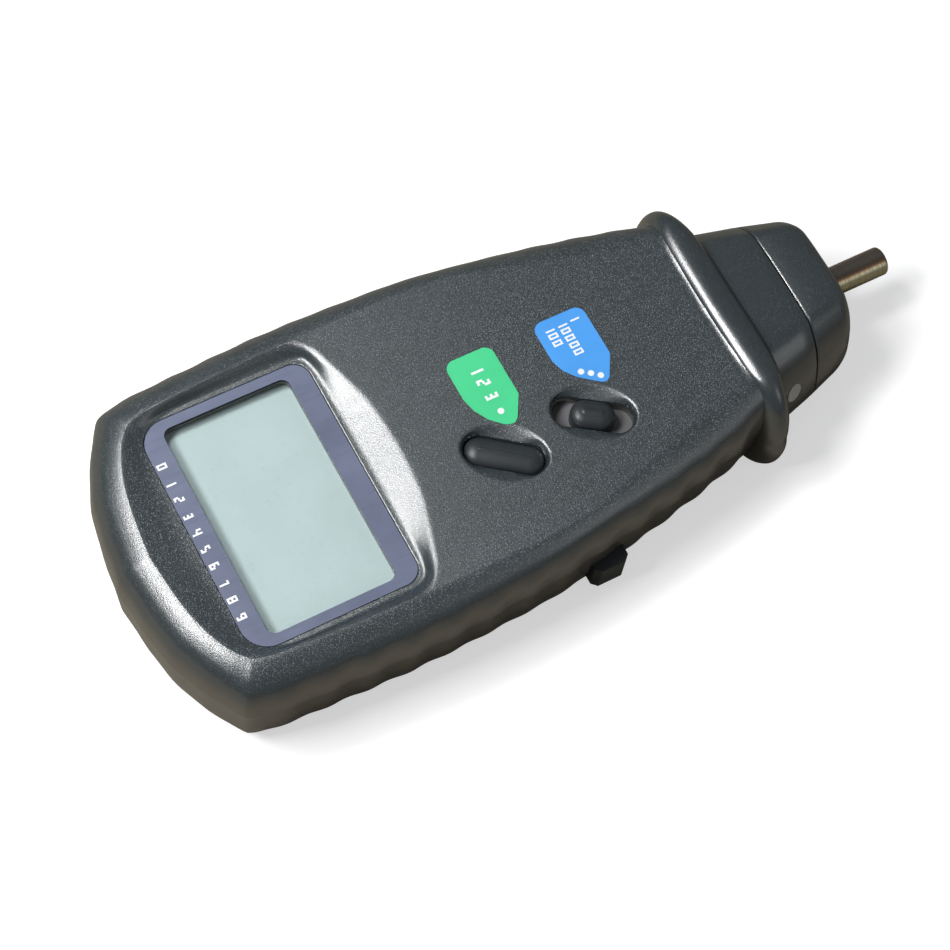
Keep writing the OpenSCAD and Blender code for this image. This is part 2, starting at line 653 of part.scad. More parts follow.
// Battery cover: a plate flush with the back, a lip that closes the display end,
// and two flanges that run above the floor of the lower shell
module battery_cover() {
    flange_from = end_y + lip_l + flange_in;
    flange_l = cover_l - lip_l - flange_in - tray_wall - slide_gap;
    color(body_tone) {
        difference() {
            intersection() {
                lower_body();
                union() {
                    translate([0, end_y + cover_l / 2, 0])
                        block([cover_w, cover_l, wall - seat_gap / 2 - cover_up], cover_up);
                    translate([0, end_y, 0])
                        block([case_w, 2 * (lip_l - slide_gap), lip_top - slide_gap - cover_up],
                            cover_up);
                }
            }
            translate([0, end_y, 0])
                block([cover_w - 4 * wall, 2 * (lip_l + over), case_h], wall - seat_gap / 2);
            // Thumb grooves
            for (k = [0:thumb_count - 1])
                translate([0, end_y + cover_l - thumb_from - k * thumb_pitch, 0])
                block([thumb_w, thumb_pitch / 2, thumb_depth + cover_up], 0);
        }
        both_sides() translate([cover_w / 2 - flange_w, flange_from, wall - seat_gap - seat_gap]) {
            cube([flange_w - slide_gap, flange_l, flange_top - wall + 2 * seat_gap]);
            translate([0, 0, flange_top - wall + 2 * seat_gap - flange_h])
                cube([2 * flange_w - slide_gap, flange_l, flange_h]);
        }
    }
}
thumb_count = 5;
thumb_from = 6;
thumb_pitch = 1.8;
thumb_w = 16;
thumb_depth = 0.6;
// How far the cover stands in from the flat back
cover_up = 0.4;

module window() {
    color([0.75, 0.8, 0.86, 0.5]) at_window() translate([0, 0, bowl_floor_h - lens_t + seat_gap / 4])
        linear_extrude(lens_t - seat_gap / 4)
        polygon(rounded(lens_w - 2 * lens_gap, lens_l - 2 * lens_gap, lens_head_r, lens_end_r));
}

glass_w = view_w + 2 * skirt_wall;
glass_l = view_l + 2 * skirt_wall;
glass_t = 2.2;
module lcd_glass() {
    color([0.72, 0.79, 0.77]) at_window() {
        block([glass_w, glass_l, glass_t / 2], glass_top - glass_t / 2);
        block([glass_w, glass_l - 2 * skirt_wall, glass_t / 2], glass_top - glass_t);
    }
}
frame_wall = 1.5;
module lcd_frame() {
    color([0.85, 0.85, 0.83]) at_window() translate([0, 0, board_top])
        linear_extrude(glass_top - board_top)
        difference() {
            square([glass_w + 2 * frame_wall, glass_l + 2 * frame_wall], center = true);
            square([glass_w + seat_gap, glass_l + seat_gap], center = true);
        }
}
module contact_strips() {
    strip_w = skirt_wall - 2 * seat_gap;
    color([0.80, 0.40, 0.62]) at_window() for (s = [-1, 1])
        translate([0, s * (glass_l - skirt_wall) / 2, 0])
        block([glass_w - 2 * frame_wall, strip_w, glass_top - glass_t / 2 - board_top], board_top);
}

module main_board() {
    edge_out = 1.6;
    post_clear = 2.4;
    full_x = tray_in_w / 2 + tray_wall + edge_out;
    mid_x = screw_x - post_d / 2 - post_clear;
    head_x = 12;
    end_cut = 7;
    neck_in = 3;
    shoulder_y = end_y + cover_l;
    half = [[full_x - end_cut, board_end_y], [full_x, board_end_y + end_cut],
        [full_x, shoulder_y - neck_in], [mid_x, shoulder_y], [mid_x, mode_y - neck_in],
        [head_x, board_head_y - neck_in], [head_x, board_head_y]];
    color(board_tone) translate([0, 0, board_h]) difference() {
        linear_extrude(board_t) polygon(concat(half,
            [for (i = [len(half) - 1:-1:0]) [-half[i].x, half[i].y]]));
        for (p = board_screw_places) translate([p.x, p.y, -over])
            cylinder(h = board_t + 2 * over, d = board_screw_d + slide_gap);
    }
}
chip_w = 12;
chip_t = 1.8;
chip_pin_w = 0.9;
module microcontroller() {
    pins = 7;
    pitch = chip_w / (pins + 1);
    color(black_tone) translate([-control_x, mode_y - 2 * chip_pin_w, board_top]) {
        block([chip_w, chip_w, chip_t], seat_gap / 2);
        for (s = [-1, 1]) for (k = [1:pins]) {
            translate([-chip_w / 2 + k * pitch, s * chip_w / 2, 0])
                block([pitch / 2, 2 * chip_pin_w, chip_t / 3], 0);
            translate([s * chip_w / 2, -chip_w / 2 + k * pitch, 0])
                block([2 * chip_pin_w, pitch / 2, chip_t / 3], 0);
        }
    }
}
crystal_l = 10.5;
crystal_w = 4.6;
crystal_t = 3.4;
module crystal() {
    color(steel_tone) translate([-control_x / 4, memory_y, board_top])
        pill_prism(crystal_l, crystal_w, 0, crystal_t);
}
capacitor_d = 4;
capacitor_l = 7;
module capacitor() {
    color([0.15, 0.2, 0.4])
        translate([-control_x / 3, mode_y + 2 * capacitor_d, board_top + capacitor_d / 2])
        rotate([0, 90, 0]) cylinder(h = capacitor_l, d = capacitor_d);
}

// Memory button: a rubber pill with a crown, on a flange under the face
flange_t = 1.5;
flange_reach = 1.4;
button_crown = 0.9;
button_low = 0.3;
// How far the crown draws in and lies below the top, as shares of its depth
crown_shares = [[0, 1], [0.3, 0.55], [0.9, 0.18], [2, 0]];
module crowned_pill(length, width, low, high, crown) {
    loft([at_height(pill(length, width), low),
        for (s = crown_shares) at_height(pill(length - s.x * crown, width - s.x * crown),
            high - s.y * crown)]);
}
control_flange_top = ceiling_h - slide_gap;
control_flange_low = control_flange_top - flange_t;
module memory_button() {
    color(knob_tone) at_memory() {
        crowned_pill(memory_l - 2 * slide_gap, slot_w - 2 * slide_gap, control_flange_low,
            case_h - button_low, button_crown);
        pill_prism(memory_l + 2 * flange_reach, slot_w + 2 * flange_reach,
            control_flange_low, control_flange_top);
    }
}
tact_w = 6.2;
tact_h = 2;
plunger_d = 3.4;
plunger_hole_l = 1.6;
module memory_plunger() {
    low = board_top + tact_h - plunger_hole_l + memory_travel + seat_gap;
    color([0.75, 0.72, 0.66]) at_memory() translate([0, 0, low])
        cylinder(h = control_flange_low - low, d = plunger_d);
}
module memory_switch() {
    color(black_tone) at_memory() translate([0, 0, board_top]) difference() {
        block([tact_w, tact_w, tact_h], 0);
        translate([0, 0, tact_h - plunger_hole_l]) cylinder(h = tact_h, d = plunger_d + 2 * slide_gap);
    }
}

// Mode knob: a rounded thumb piece on a shutter plate that keeps the slot closed
mode_travel = (mode_l - knob_l) / 2 - slide_gap;
shutter_w = slot_w + 2 * flange_reach;
shutter_l = mode_l + 2 * mode_travel + 2 * flange_reach;
knob_rise = 0.3;
knob_crown = 1.26;
module mode_knob() {
    color(knob_tone) at_mode() {
        crowned_pill(knob_l, slot_w - 2 * slide_gap, control_flange_low, case_h + knob_rise,
            knob_crown);
        block([shutter_l, shutter_w, flange_t], control_flange_low);
    }
}
slide_body_l = 15;
slide_body_w = 6;
slide_body_h = 2;
slide_tip_l = 3;
slide_tip_w = 2.4;
module mode_slider() {
    low = board_top + slide_body_h / 2;
    color([0.85, 0.84, 0.8]) at_mode()
        block([slide_tip_l, slide_tip_w, control_flange_low - low], low);
}
module mode_switch() {
    color(steel_tone) at_mode() difference() {
        block([slide_body_l, slide_body_w, slide_body_h], board_top);
        block([slide_tip_l + 2 * mode_travel + 2 * slide_gap, slide_tip_w + 2 * slide_gap,
            slide_body_h], board_top + slide_body_h / 2 - slide_gap);
    }
}

// Measure key on the right side
key_face_x = key_side_x + key_out;
module measure_key() {
    nib = 1.2;
    color(knob_tone) {
        translate([0, key_y, 0]) rotate([90, 0, 90]) translate([0, 0, key_seat_x - key_flange]) {
            linear_extrude(key_face_x - nib - key_seat_x + key_flange)
                translate([0, key_mid_h]) square([key_l, key_h], center = true);
            translate([0, key_mid_h + key_h / 8]) linear_extrude(key_flange - slide_gap)
                square([key_l + 2 * flange_reach, key_h * 3 / 4], center = true);
        }
        translate([key_face_x - nib, key_y, key_mid_h - key_h / 2]) linear_extrude(key_h)
            polygon([[-nib / 2, -key_l / 2], [0, -key_l / 2], [nib, -key_l / 2 + nib],
                [nib, key_l / 2 - nib], [0, key_l / 2], [-nib / 2, key_l / 2]]);
    }
}
module measure_plunger() {
    from_x = key_board_x + key_board_t + key_switch_t - plunger_hole_l + key_travel + seat_gap;
    color([0.75, 0.72, 0.66]) translate([from_x, key_y, key_mid_h]) rotate([0, 90, 0])
        cylinder(h = key_tip_x - from_x, d = plunger_d);
}
module measure_switch() {
    color(black_tone) translate([key_board_x + key_board_t, key_y, key_mid_h]) rotate([0, 90, 0])
        difference() {
            block([tact_w, tact_w, key_switch_t], 0);
            translate([0, 0, key_switch_t - plunger_hole_l - slide_gap])
                cylinder(h = key_switch_t, d = plunger_d + 2 * slide_gap);
        }
}
module key_board() {
    color(board_tone) translate([key_board_x, key_y - key_board_l / 2, key_board_low])
        cube([key_board_t, key_board_l, key_board_h]);
}

// Spindle group
bush_d = 11;
bush_flange_d = 14;
bush_flange_t = 1;
bush_l = 6;
ring_t = 0.9;
ring_d = 10;
ring_groove = 0.5;
hub_d = 10;
hub_l = 4;
disc_slot_w = 1.2;
disc_slot_l = 2.4;
disc_rim = 0.8;
spindle_back = 9.5;
tip_chamfer = 0.5;
rear_ring_y = block_from - bush_flange_t - seat_gap - ring_t;
front_ring_y = block_from + bush_l + seat_gap;
shoulder_y = front_y - slide_gap;
module spindle() {
    r = journal_d / 2;
    free_r = shaft_d / 2;
    back = disc_y - spindle_back;
    color(steel_tone) translate([0, 0, shaft_h]) rotate([-90, 0, 0]) rotate_extrude()
        polygon([[0, back], [r - tip_chamfer, back], [r, back + tip_chamfer],
            [r, rear_ring_y], [r - ring_groove, rear_ring_y],
            [r - ring_groove, rear_ring_y + ring_t], [r, rear_ring_y + ring_t],
            [r, front_ring_y], [r - ring_groove, front_ring_y],
            [r - ring_groove, front_ring_y + ring_t], [r, front_ring_y + ring_t],
            [r, shoulder_y], [free_r, shoulder_y], [free_r, tip_y - tip_chamfer],
            [free_r - tip_chamfer, tip_y], [0, tip_y]]);
}
module encoder_disc() {
    slot_from = disc_d / 2 - disc_rim - disc_slot_l;
    color(black_tone) difference() {
        union() {
            rod(disc_d, disc_y - disc_t / 2, disc_y + disc_t / 2);
            rod(hub_d, disc_y - hub_l, disc_y);
        }
        rod(journal_d, disc_y - hub_l - over, disc_y + over);
        for (k = [0:disc_slots - 1]) translate([0, disc_y, shaft_h])
            rotate([0, 360 * (k + 0.5) / disc_slots, 0])
            translate([-disc_slot_w / 2, -disc_t, slot_from])
            cube([disc_slot_w, 2 * disc_t, disc_slot_l]);
    }
}
module retaining_rings() {
    color(steel_tone) for (y = [rear_ring_y, front_ring_y]) difference() {
        rod(ring_d, y, y + ring_t);
        rod(journal_d - 2 * ring_groove, y - over, y + ring_t + over);
        translate([-journal_d / 4, y - over, shaft_h]) cube([journal_d / 2, ring_t + 2 * over, ring_d]);
    }
}
module bush(flange_y, body_from, body_to) {
    color(bronze_tone) difference() {
        union() {
            rod(bush_d, body_from, body_to);
            rod(bush_flange_d, flange_y, flange_y + bush_flange_t);
        }
        rod(journal_d + 2 * shaft_fit, body_from - 2 * over, body_to + 2 * over);
    }
}
module front_bush() {
    bush(block_to, block_to - bush_l, block_to);
}
module rear_bush() {
    bush(block_from - bush_flange_t, block_from, block_from + bush_l);
}
block_step = 2;
module bearing_block() {
    color([0.55, 0.56, 0.58]) difference() {
        union() {
            rod(block_d, block_from, cap_y + spigot_l);
            rod(block_d - block_step, cap_y + spigot_l, block_to);
        }
        rod(bush_d, block_from - over, block_to + over);
    }
}
module photo_interrupter() {
    u_w = 6;
    u_l = 7.2;
    u_gap = 2.6;
    u_bridge = 1.4;
    u_low = shaft_h + hub_d / 2 + slide_gap;
    color(black_tone) translate([0, disc_y, 0]) difference() {
        block([u_w, u_l, sensor_h - u_low], u_low);
        block([u_w + 2 * over, u_gap, sensor_h - u_low - u_bridge + over], u_low - over);
    }
}
module sensor_board() {
    color(board_tone) translate([0, disc_y, 0]) block([sensor_w, sensor_l, sensor_t], sensor_h);
}

// Cells, springs and plates
function cell_x(k) = (k - (cell_count - 1) / 2) * cell_d;
cell_gap = 0.1;
nub_d = 5.4;
nub_l = 1.2;
spring_room = tray_in_l - cell_l - 2 * cell_gap;
module battery_cells() {
    r = cell_d / 2 - cell_gap;
    edge = 0.6;
    low = -cell_l / 2;
    color([0.16, 0.2, 0.32]) for (k = [0:cell_count - 1])
        translate([cell_x(k), tray_y + (k % 2 == 0 ? -1 : 1) * spring_room / 3, cell_h])
        rotate([k % 2 == 0 ? 90 : -90, 0, 0]) rotate_extrude()
        polygon([[0, low], [r - edge, low], [r, low + edge], [r, -low - nub_l - edge],
            [r - edge, -low - nub_l], [nub_d / 2, -low - nub_l], [nub_d / 2, -low], [0, -low]]);
}
plate_t = 0.4;
plate_w = 10;
spring_turns = 3;
spring_wire = 0.7;
spring_lean_share = 0.8;
module battery_plates() {
    color(steel_tone) for (s = [-1, 1]) for (k = [0:cell_count - 1])
        translate([cell_x(k), tray_y + s * (tray_in_l / 2 - plate_t), 0])
        block([plate_w, plate_t, plate_w], cell_h - plate_w / 2);
}
module battery_springs() {
    color(steel_tone) for (k = [0:cell_count - 1])
        translate([cell_x(k), tray_y + (k % 2 == 0 ? 1 : -1) * (tray_in_l / 2 - 1.5 * plate_t), cell_h])
        rotate([k % 2 == 0 ? 90 : -90, 0, 0]) for (t = [0:spring_turns - 1])
        translate([0, 0, t * spring_wire]) rotate_extrude()
        translate([plate_w / 2 - spring_wire - t * spring_wire * spring_lean_share, 0])
        square([spring_wire, spring_wire]);
}

cross_share = 0.64;
module cross_screw(d, head_d, head_h, length) {
    difference() {
        cylinder(h = head_h, d = head_d);
        for (a = [0, 90]) rotate([0, 0, a])
            block([head_d * cross_share, head_d / 6, head_h / 2 + over], -over);
    }
    translate([0, 0, head_h]) cylinder(h = length, d = d);
}
module case_screws() {
    color(steel_tone) for (p = screw_places)
        translate([p.x, p.y, screw_seat_h - screw_head_h])
        cross_screw(screw_d, screw_head_d, screw_head_h, screw_l - over);
}
module board_screws() {
    head_h = 0.9;
    color(steel_tone) for (p = board_screw_places) translate([p.x, p.y, board_h - head_h])
        cross_screw(board_screw_d, board_post_d - seat_gap, head_h, board_screw_l);
}

// Labels on the face: a straight head, a slant to a rounded tip, a long curve back
label_t = 0.2;
label_left = -12.3;
label_r = 2.2;
mode_label_head = 23.2;
mode_label_l = 11.8;
memory_label_head = 44.9;
memory_label_l = 10.9;
// Shares of the label's width and length, from its left end
mode_label_shares = [[0.12, 0], [0.5, 0], [0.665, 0.08], [0.8, 0.24], [0.915, 0.46],
    [0.985, 0.6], [0.995, 0.68], [0.96, 0.76], [0.70, 1], [0.12, 1]];
memory_label_shares = [[0.12, 0], [0.5, 0], [0.665, 0.07], [0.83, 0.22], [0.965, 0.45],
    [0.995, 0.56], [0.995, 0.66], [0.955, 0.74], [0.695, 1], [0.12, 1]];
label_w = 18.2;
module label(shares, length, head, tone) {
    r = label_r;
    outline = [for (s = shares) [label_left + s.x * label_w, s.y * length]];
    left = concat(corner(label_left + r, length - r, r, 90), corner(label_left + r, r, r, 180));
    color(tone) translate([0, collar_y - head - length, case_h]) linear_extrude(label_t)
        polygon(concat(left, [for (p = outline) if (p.x > label_left + r) p]));
}
module mode_label() {
    label(mode_label_shares, mode_label_l, mode_label_head, blue_tone);
}
module memory_label() {
    label(memory_label_shares, memory_label_l, memory_label_head, green_tone);
}

top_case();
bottom_case();
end_cap();
battery_cover();
window();
lcd_glass();
lcd_frame();
contact_strips();
main_board();
microcontroller();
crystal();
capacitor();
memory_button();
memory_plunger();
memory_switch();
mode_knob();
mode_slider();
mode_switch();
measure_key();
measure_plunger();
measure_switch();
key_board();
spindle();
encoder_disc();
retaining_rings();
front_bush();
rear_bush();
bearing_block();
photo_interrupter();
sensor_board();
battery_cells();
battery_springs();
battery_plates();
case_screws();
board_screws();
mode_label();
memory_label();
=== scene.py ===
import json
import math
import bmesh
import bpy
import numpy as np
from mathutils import Matrix, Vector


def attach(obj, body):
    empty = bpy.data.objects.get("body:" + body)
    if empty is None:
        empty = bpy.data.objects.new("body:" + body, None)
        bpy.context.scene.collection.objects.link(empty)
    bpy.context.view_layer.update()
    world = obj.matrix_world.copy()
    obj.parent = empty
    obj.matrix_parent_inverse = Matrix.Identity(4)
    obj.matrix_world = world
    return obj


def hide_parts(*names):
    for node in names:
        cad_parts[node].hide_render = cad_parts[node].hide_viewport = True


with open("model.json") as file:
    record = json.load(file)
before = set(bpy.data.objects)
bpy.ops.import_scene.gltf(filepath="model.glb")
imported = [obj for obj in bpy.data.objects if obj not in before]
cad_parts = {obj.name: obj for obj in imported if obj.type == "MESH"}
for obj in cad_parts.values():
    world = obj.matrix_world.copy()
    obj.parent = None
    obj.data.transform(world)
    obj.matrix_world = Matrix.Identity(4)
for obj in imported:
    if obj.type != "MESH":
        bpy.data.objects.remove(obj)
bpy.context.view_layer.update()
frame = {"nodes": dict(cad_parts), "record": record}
nodes = frame["nodes"]
mm = 0.001


def throughPoints(points, steps):
    p = np.array(points, float)
    t = (np.arange(steps) / steps)[:, None]
    runs = []
    for i in range(len(p) - 1):
        a, b, c, d = p[max(i - 1, 0)], p[i], p[i + 1], p[min(i + 2, len(p) - 1)]
        runs.append(0.5 * (2 * b + (c - a) * t + (2 * a - 5 * b + 4 * c - d) * t * t
                           + (3 * b - a - 3 * c + d) * t ** 3))
    return np.vstack(runs + [p[-1:]])


def softMin(a, b, k):
    return np.minimum(a, b) - np.maximum(k - np.abs(a - b), 0) ** 2 / (4 * k)


def softMax(a, b, k):
    return np.maximum(a, b) + np.maximum(k - np.abs(a - b), 0) ** 2 / (4 * k)


def makePiece(name, verts, faces):
    mesh = bpy.data.meshes.new(name)
    mesh.from_pydata((np.array(verts) * mm).tolist(), [], faces)
    bm = bmesh.new()
    bm.from_mesh(mesh)
    bmesh.ops.remove_doubles(bm, verts=bm.verts, dist=1e-7)
    bmesh.ops.recalc_face_normals(bm, faces=bm.faces)
    bm.to_mesh(mesh)
    bm.free()
    piece = bpy.data.objects.new(name, mesh)
    bpy.context.scene.collection.objects.link(piece)
    return piece


# A solid through closed rings of the same number of points
def loft(name, rings):
    rings = [np.array(r, float) for r in rings]
    n = len(rings[0])
    faces = []
    for j in range(len(rings) - 1):
        a, b = j * n, (j + 1) * n
        faces += [[a + i, a + (i + 1) % n, b + (i + 1) % n, b + i] for i in range(n)]
    faces.append(list(range(n)))
    faces.append(list(range((len(rings) - 1) * n, len(rings) * n)))
    return makePiece(name, np.vstack(rings), faces)


def prism(name, outline, low, high):
    flat = np.array(outline, float)
    return loft(name, [np.c_[flat, np.full(len(flat), z)] for z in (low, high)])


def box(name, low, high):
    (x0, y0, z0), (x1, y1, z1) = low, high
    return prism(name, [[x0, y0], [x1, y0], [x1, y1], [x0, y1]], z0, z1)


def circle(r, count=48, cx=0.0, cy=0.0):
    a = np.linspace(0, 2 * np.pi, count, endpoint=False)
    return np.c_[cx + r * np.cos(a), cy + r * np.sin(a)]


# Changes a piece by another that is used up, as cutting, joining or keeping what both share
def combine(piece, other, operation="DIFFERENCE"):
    step = piece.modifiers.new("step", "BOOLEAN")
    step.operation, step.solver, step.object = operation, "MANIFOLD", other
    graph = bpy.context.evaluated_depsgraph_get()
    result = bpy.data.meshes.new_from_object(piece.evaluated_get(graph))
    piece.modifiers.clear()
    piece.data = result
    bpy.data.objects.remove(other)
    return piece


def join(piece, *others):
    bm = bmesh.new()
    for part in (piece,) + others:
        bm.from_mesh(part.data)
    bm.to_mesh(piece.data)
    bm.free()
    for part in others:
        bpy.data.objects.remove(part)
    return piece


def smooth(piece, degrees=32):
    piece.data.polygons.foreach_set("use_smooth", [True] * len(piece.data.polygons))
    piece.data.set_sharp_from_angle(angle=math.radians(degrees))
    return piece


def copyOfNode(node):
    bm = bmesh.new()
    bm.from_mesh(nodes[node].data)
    bmesh.ops.remove_doubles(bm, verts=bm.verts, dist=2e-7)
    mesh = bpy.data.meshes.new(node + "Copy")
    bm.to_mesh(mesh)
    bm.free()
    piece = bpy.data.objects.new(node + "Copy", mesh)
    bpy.context.scene.collection.objects.link(piece)
    return piece


def dress(piece, material, body, slot, *replaced):
    piece.data.materials.clear()
    piece.data.materials.append(material)
    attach(piece, body)
    if replaced:
        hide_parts(*replaced)
    return piece


# Sizes are in millimetres, as in the part's own source
case = {"width": 76.8, "length": 135.3, "height": 28.3, "joint": 14.0, "endY": -92.0,
        "edgeIn": 7.5, "edgeDrop": 10.3, "backIn": 5.2, "flutes": 18, "fluteDepth": 0.6,
        "calmY": [-88, -60], "calm": [0.2, 0.8], "spineY": -70}
columnsPerFlute = 24
outlineShares = [[0, 0], [0.289, 0.0096], [0.508, 0.023], [0.742, 0.0525],
                 [0.885, 0.0776], [0.927, 0.0894], [0.953, 0.1146], [0.969, 0.1515],
                 [0.987, 0.252], [1, 0.345], [0.996, 0.438], [0.982, 0.515],
                 [0.961, 0.601], [0.919, 0.686], [0.859, 0.802], [0.771, 0.923],
                 [0.6875, 1], [0.664, 1.022]]
insetShares = [[0, 0.987], [-0.147, 0.947], [-0.267, 0.907], [-0.56, 0.733],
               [-0.827, 0.653], [-0.933, 0.587], [-0.987, 0.44], [-1, 0.267],
               [-1, 0.053], [-1, 0.013], [-0.94, 0], [-0.853, -0.013],
               [-0.773, -0.027], [-0.733, -0.067], [-0.987, -0.133], [-1.147, -0.12],
               [-0.907, 0], [-0.813, 0]]
# Outline columns, evenly spaced along the run from the display end to the collar
planPoints = throughPoints([[o[0] * case["width"] / 2, case["endY"] + o[1] * case["length"],
                             i[0] * case["edgeIn"], i[1] * case["edgeIn"]]
                            for o, i in zip(outlineShares, insetShares)], 24)
planRun = np.r_[0, np.cumsum(np.linalg.norm(np.diff(planPoints[:, :2], axis=0), axis=1))]
halfCount = case["flutes"] * columnsPerFlute
evenRun = np.linspace(0, planRun[-1], halfCount + 1)
columns = np.array([np.interp(evenRun, planRun, planPoints[:, k]) for k in range(4)]).T
calm = np.interp(columns[:, 1], case["calmY"], case["calm"])  # shallower flutes at the display end
fluteWave = calm * (1 - np.cos(2 * np.pi * np.arange(halfCount + 1) / columnsPerFlute)) / 2


def bothHalves(half, z, limitY=1e9):
    half = np.c_[half[:, 0], np.minimum(half[:, 1], limitY), np.full(len(half), z)]
    return np.vstack([half[:0:-1], half * [-1, 1, 1]])


def planRing(share, flute, z, limitY=1e9):
    s = share + max(flute, 0) * fluteWave * case["fluteDepth"] / case["edgeIn"]
    return bothHalves(columns[:, :2] + s[:, None] * columns[:, 2:], z, limitY)


def coreRing(inset, z, limitY):
    return planRing(inset / case["edgeIn"], 0, z, limitY)


lens = {"width": 54.5, "length": 38.0, "y": -56.3, "headR": 3.8, "endR": 5.8,
        "depth": 2.1, "viewW": 50.3, "viewL": 28.9, "viewR": 2.0, "seatZ": 24.7}
# The dished surround of the window: its rim, and how its slope meets face and floor
bowlShares = [[0, 0.0562], [0.266, 0.0643], [0.464, 0.0769], [0.625, 0.0968],
              [0.719, 0.1183], [0.755, 0.1552], [0.784, 0.2439], [0.797, 0.3215],
              [0.794, 0.3806], [0.763, 0.405], [0.682, 0.4213], [0.492, 0.4427],
              [0.273, 0.459], [0, 0.4642]]
bowl = {"margin": 1.3, "foot": 1.5, "squareTop": 12, "squareFoot": 5, "topRound": 1.1,
        "floorRound": 0.6, "endRound": 0.8, "endReach": 10, "leastSteep": 0.05,
        "steepPower": 1.6}
bowlLine = throughPoints([[s[0] * case["width"] / 2,
                           case["endY"] + s[1] * case["length"] - lens["y"]]
                          for s in bowlShares], 12)
bowlAngle = np.degrees(np.arctan2(bowlLine[:, 1], bowlLine[:, 0]))
bowlRadius = np.linalg.norm(bowlLine, axis=1)


def bowlHeight(x, y, top):
    dx, dy = np.abs(x), y - lens["y"]
    angle, r = np.degrees(np.arctan2(dy, dx)), np.hypot(dx, dy)
    rim = np.interp(angle, bowlAngle, bowlRadius)
    halfL = lens["length"] / 2 + np.where(dy < 0, bowl["foot"], bowl["margin"])
    power = np.where(dy < 0, bowl["squareFoot"], bowl["squareTop"])
    c, s = np.abs(np.cos(np.radians(angle))), np.abs(np.sin(np.radians(angle)))
    halfW = lens["width"] / 2 + bowl["margin"]
    low = ((c / halfW) ** power + (s / halfL) ** power) ** (-1 / power)
    slope = top - lens["depth"] * (1 - (r - low) / (rim - low))
    steep = np.clip(lens["depth"] / (rim - low), bowl["leastSteep"], 1)
    floor = top - lens["depth"]
    atEnd = np.clip(-dy / bowl["endReach"], 0, 1)
    blend = bowl["floorRound"] * steep * (1 - atEnd) + bowl["endRound"] * atEnd
    topBlend = bowl["topRound"] * steep ** bowl["steepPower"]
    return softMin(softMax(slope, floor, blend), top, topBlend)


# The two slanted controls and the shallow dish round each
controls = {"mode": {"x": 10.8, "y": 10.3, "turn": 55.4, "length": 17.1},
            "memory": {"x": 10.8, "y": -10.5, "turn": 52.3, "length": 17.3}}
dish = {"slotWidth": 6.9, "depth": 1.5, "rim": 2.9, "end": 0.6, "topRound": 0.14,
        "floorRound": 0.15}


def dishHeight(x, y, top, place):
    turn = math.radians(place["turn"])
    dx, dy = x - place["x"], y - place["y"]
    u = np.abs(dx * math.cos(turn) + dy * math.sin(turn))
    v = np.abs(-dx * math.sin(turn) + dy * math.cos(turn))
    r, angle = np.hypot(u, v) + 1e-6, np.arctan2(v, u)
    c, s = np.cos(angle), np.sin(angle)
    semiL = place["length"] / 2 + dish["end"]
    semiW = dish["slotWidth"] / 2 + dish["rim"]
    outer = 1 / np.sqrt((c / semiL) ** 2 + (s / semiW) ** 2)
    half, straight = dish["slotWidth"] / 2, (place["length"] - dish["slotWidth"]) / 2
    side = half / np.maximum(s, 1e-6)
    end = straight * c + np.sqrt(np.maximum(half ** 2 - (straight * s) ** 2, 0))
    inner = np.where(side * c <= straight, side, end)
    share = (r - inner) / (outer - inner)
    bottom = top - dish["depth"]
    slope = softMax(bottom + dish["depth"] * share, bottom, dish["floorRound"])
    return softMin(slope, top, dish["topRound"])


# Hollow fillet between the face and the collar ridge
foot = {"startY": 42.4, "reach": 1.7, "rise": 0.75, "power": 2.2, "endX": 21.0, "fade": 9.0,
        "notch": 0.35, "notchWidth": 1.6}


def faceHeight(x, y):
    top = np.full(len(x), case["height"])
    z = bowlHeight(x, y, top)
    for place in controls.values():
        z = np.minimum(z, dishHeight(x, y, top, place))
    start = foot["startY"] - foot["notch"] * np.exp(-np.abs(x) / foot["notchWidth"])
    climb = np.clip((y - start) / foot["reach"], 0, 1) ** foot["power"]
    return z + foot["rise"] * climb * np.clip((foot["endX"] - np.abs(x)) / foot["fade"], 0, 1)


def rounded(w, l, headR, endR, steps=10):
    outline = []
    for sx, sy, r, start in ((1, 1, headR, 0), (-1, 1, headR, 90), (-1, -1, endR, 180),
                             (1, -1, endR, 270)):
        a = np.radians(start + 90 * np.arange(steps + 1) / steps)
        outline.append(np.c_[sx * (w / 2 - r) + r * np.cos(a),
                             lens["y"] + sy * (l / 2 - r) + r * np.sin(a)])
    return np.vstack(outline)


def pill(length, width, place, steps=20):
    a = np.radians(-90 + 180 * np.arange(steps + 1) / steps)
    half = np.c_[(length - width) / 2 + width / 2 * np.cos(a), width / 2 * np.sin(a)]
    flat = np.vstack([half, -half])
    turn = math.radians(place["turn"])
    c, s = math.cos(turn), math.sin(turn)
    return np.c_[place["x"] + flat[:, 0] * c - flat[:, 1] * s,
                 place["y"] + flat[:, 0] * s + flat[:, 1] * c]


collar = {"y": 43.3, "length": 7.9, "width": 59.8, "rise": 1.7, "bow": 0.8,
          "footWidth": 50.0, "steps": 28}
neck = {"y": 51.2, "capY": 62.5, "frontY": 74.1, "width": 46.2, "endWidth": 39.8,
        "top": 27.6, "lift": 0.8, "capTop": 27.0, "capWidth": 32.0, "wall": 2.4,
        "chamfer": 0.5, "hollowBack": 3.2}
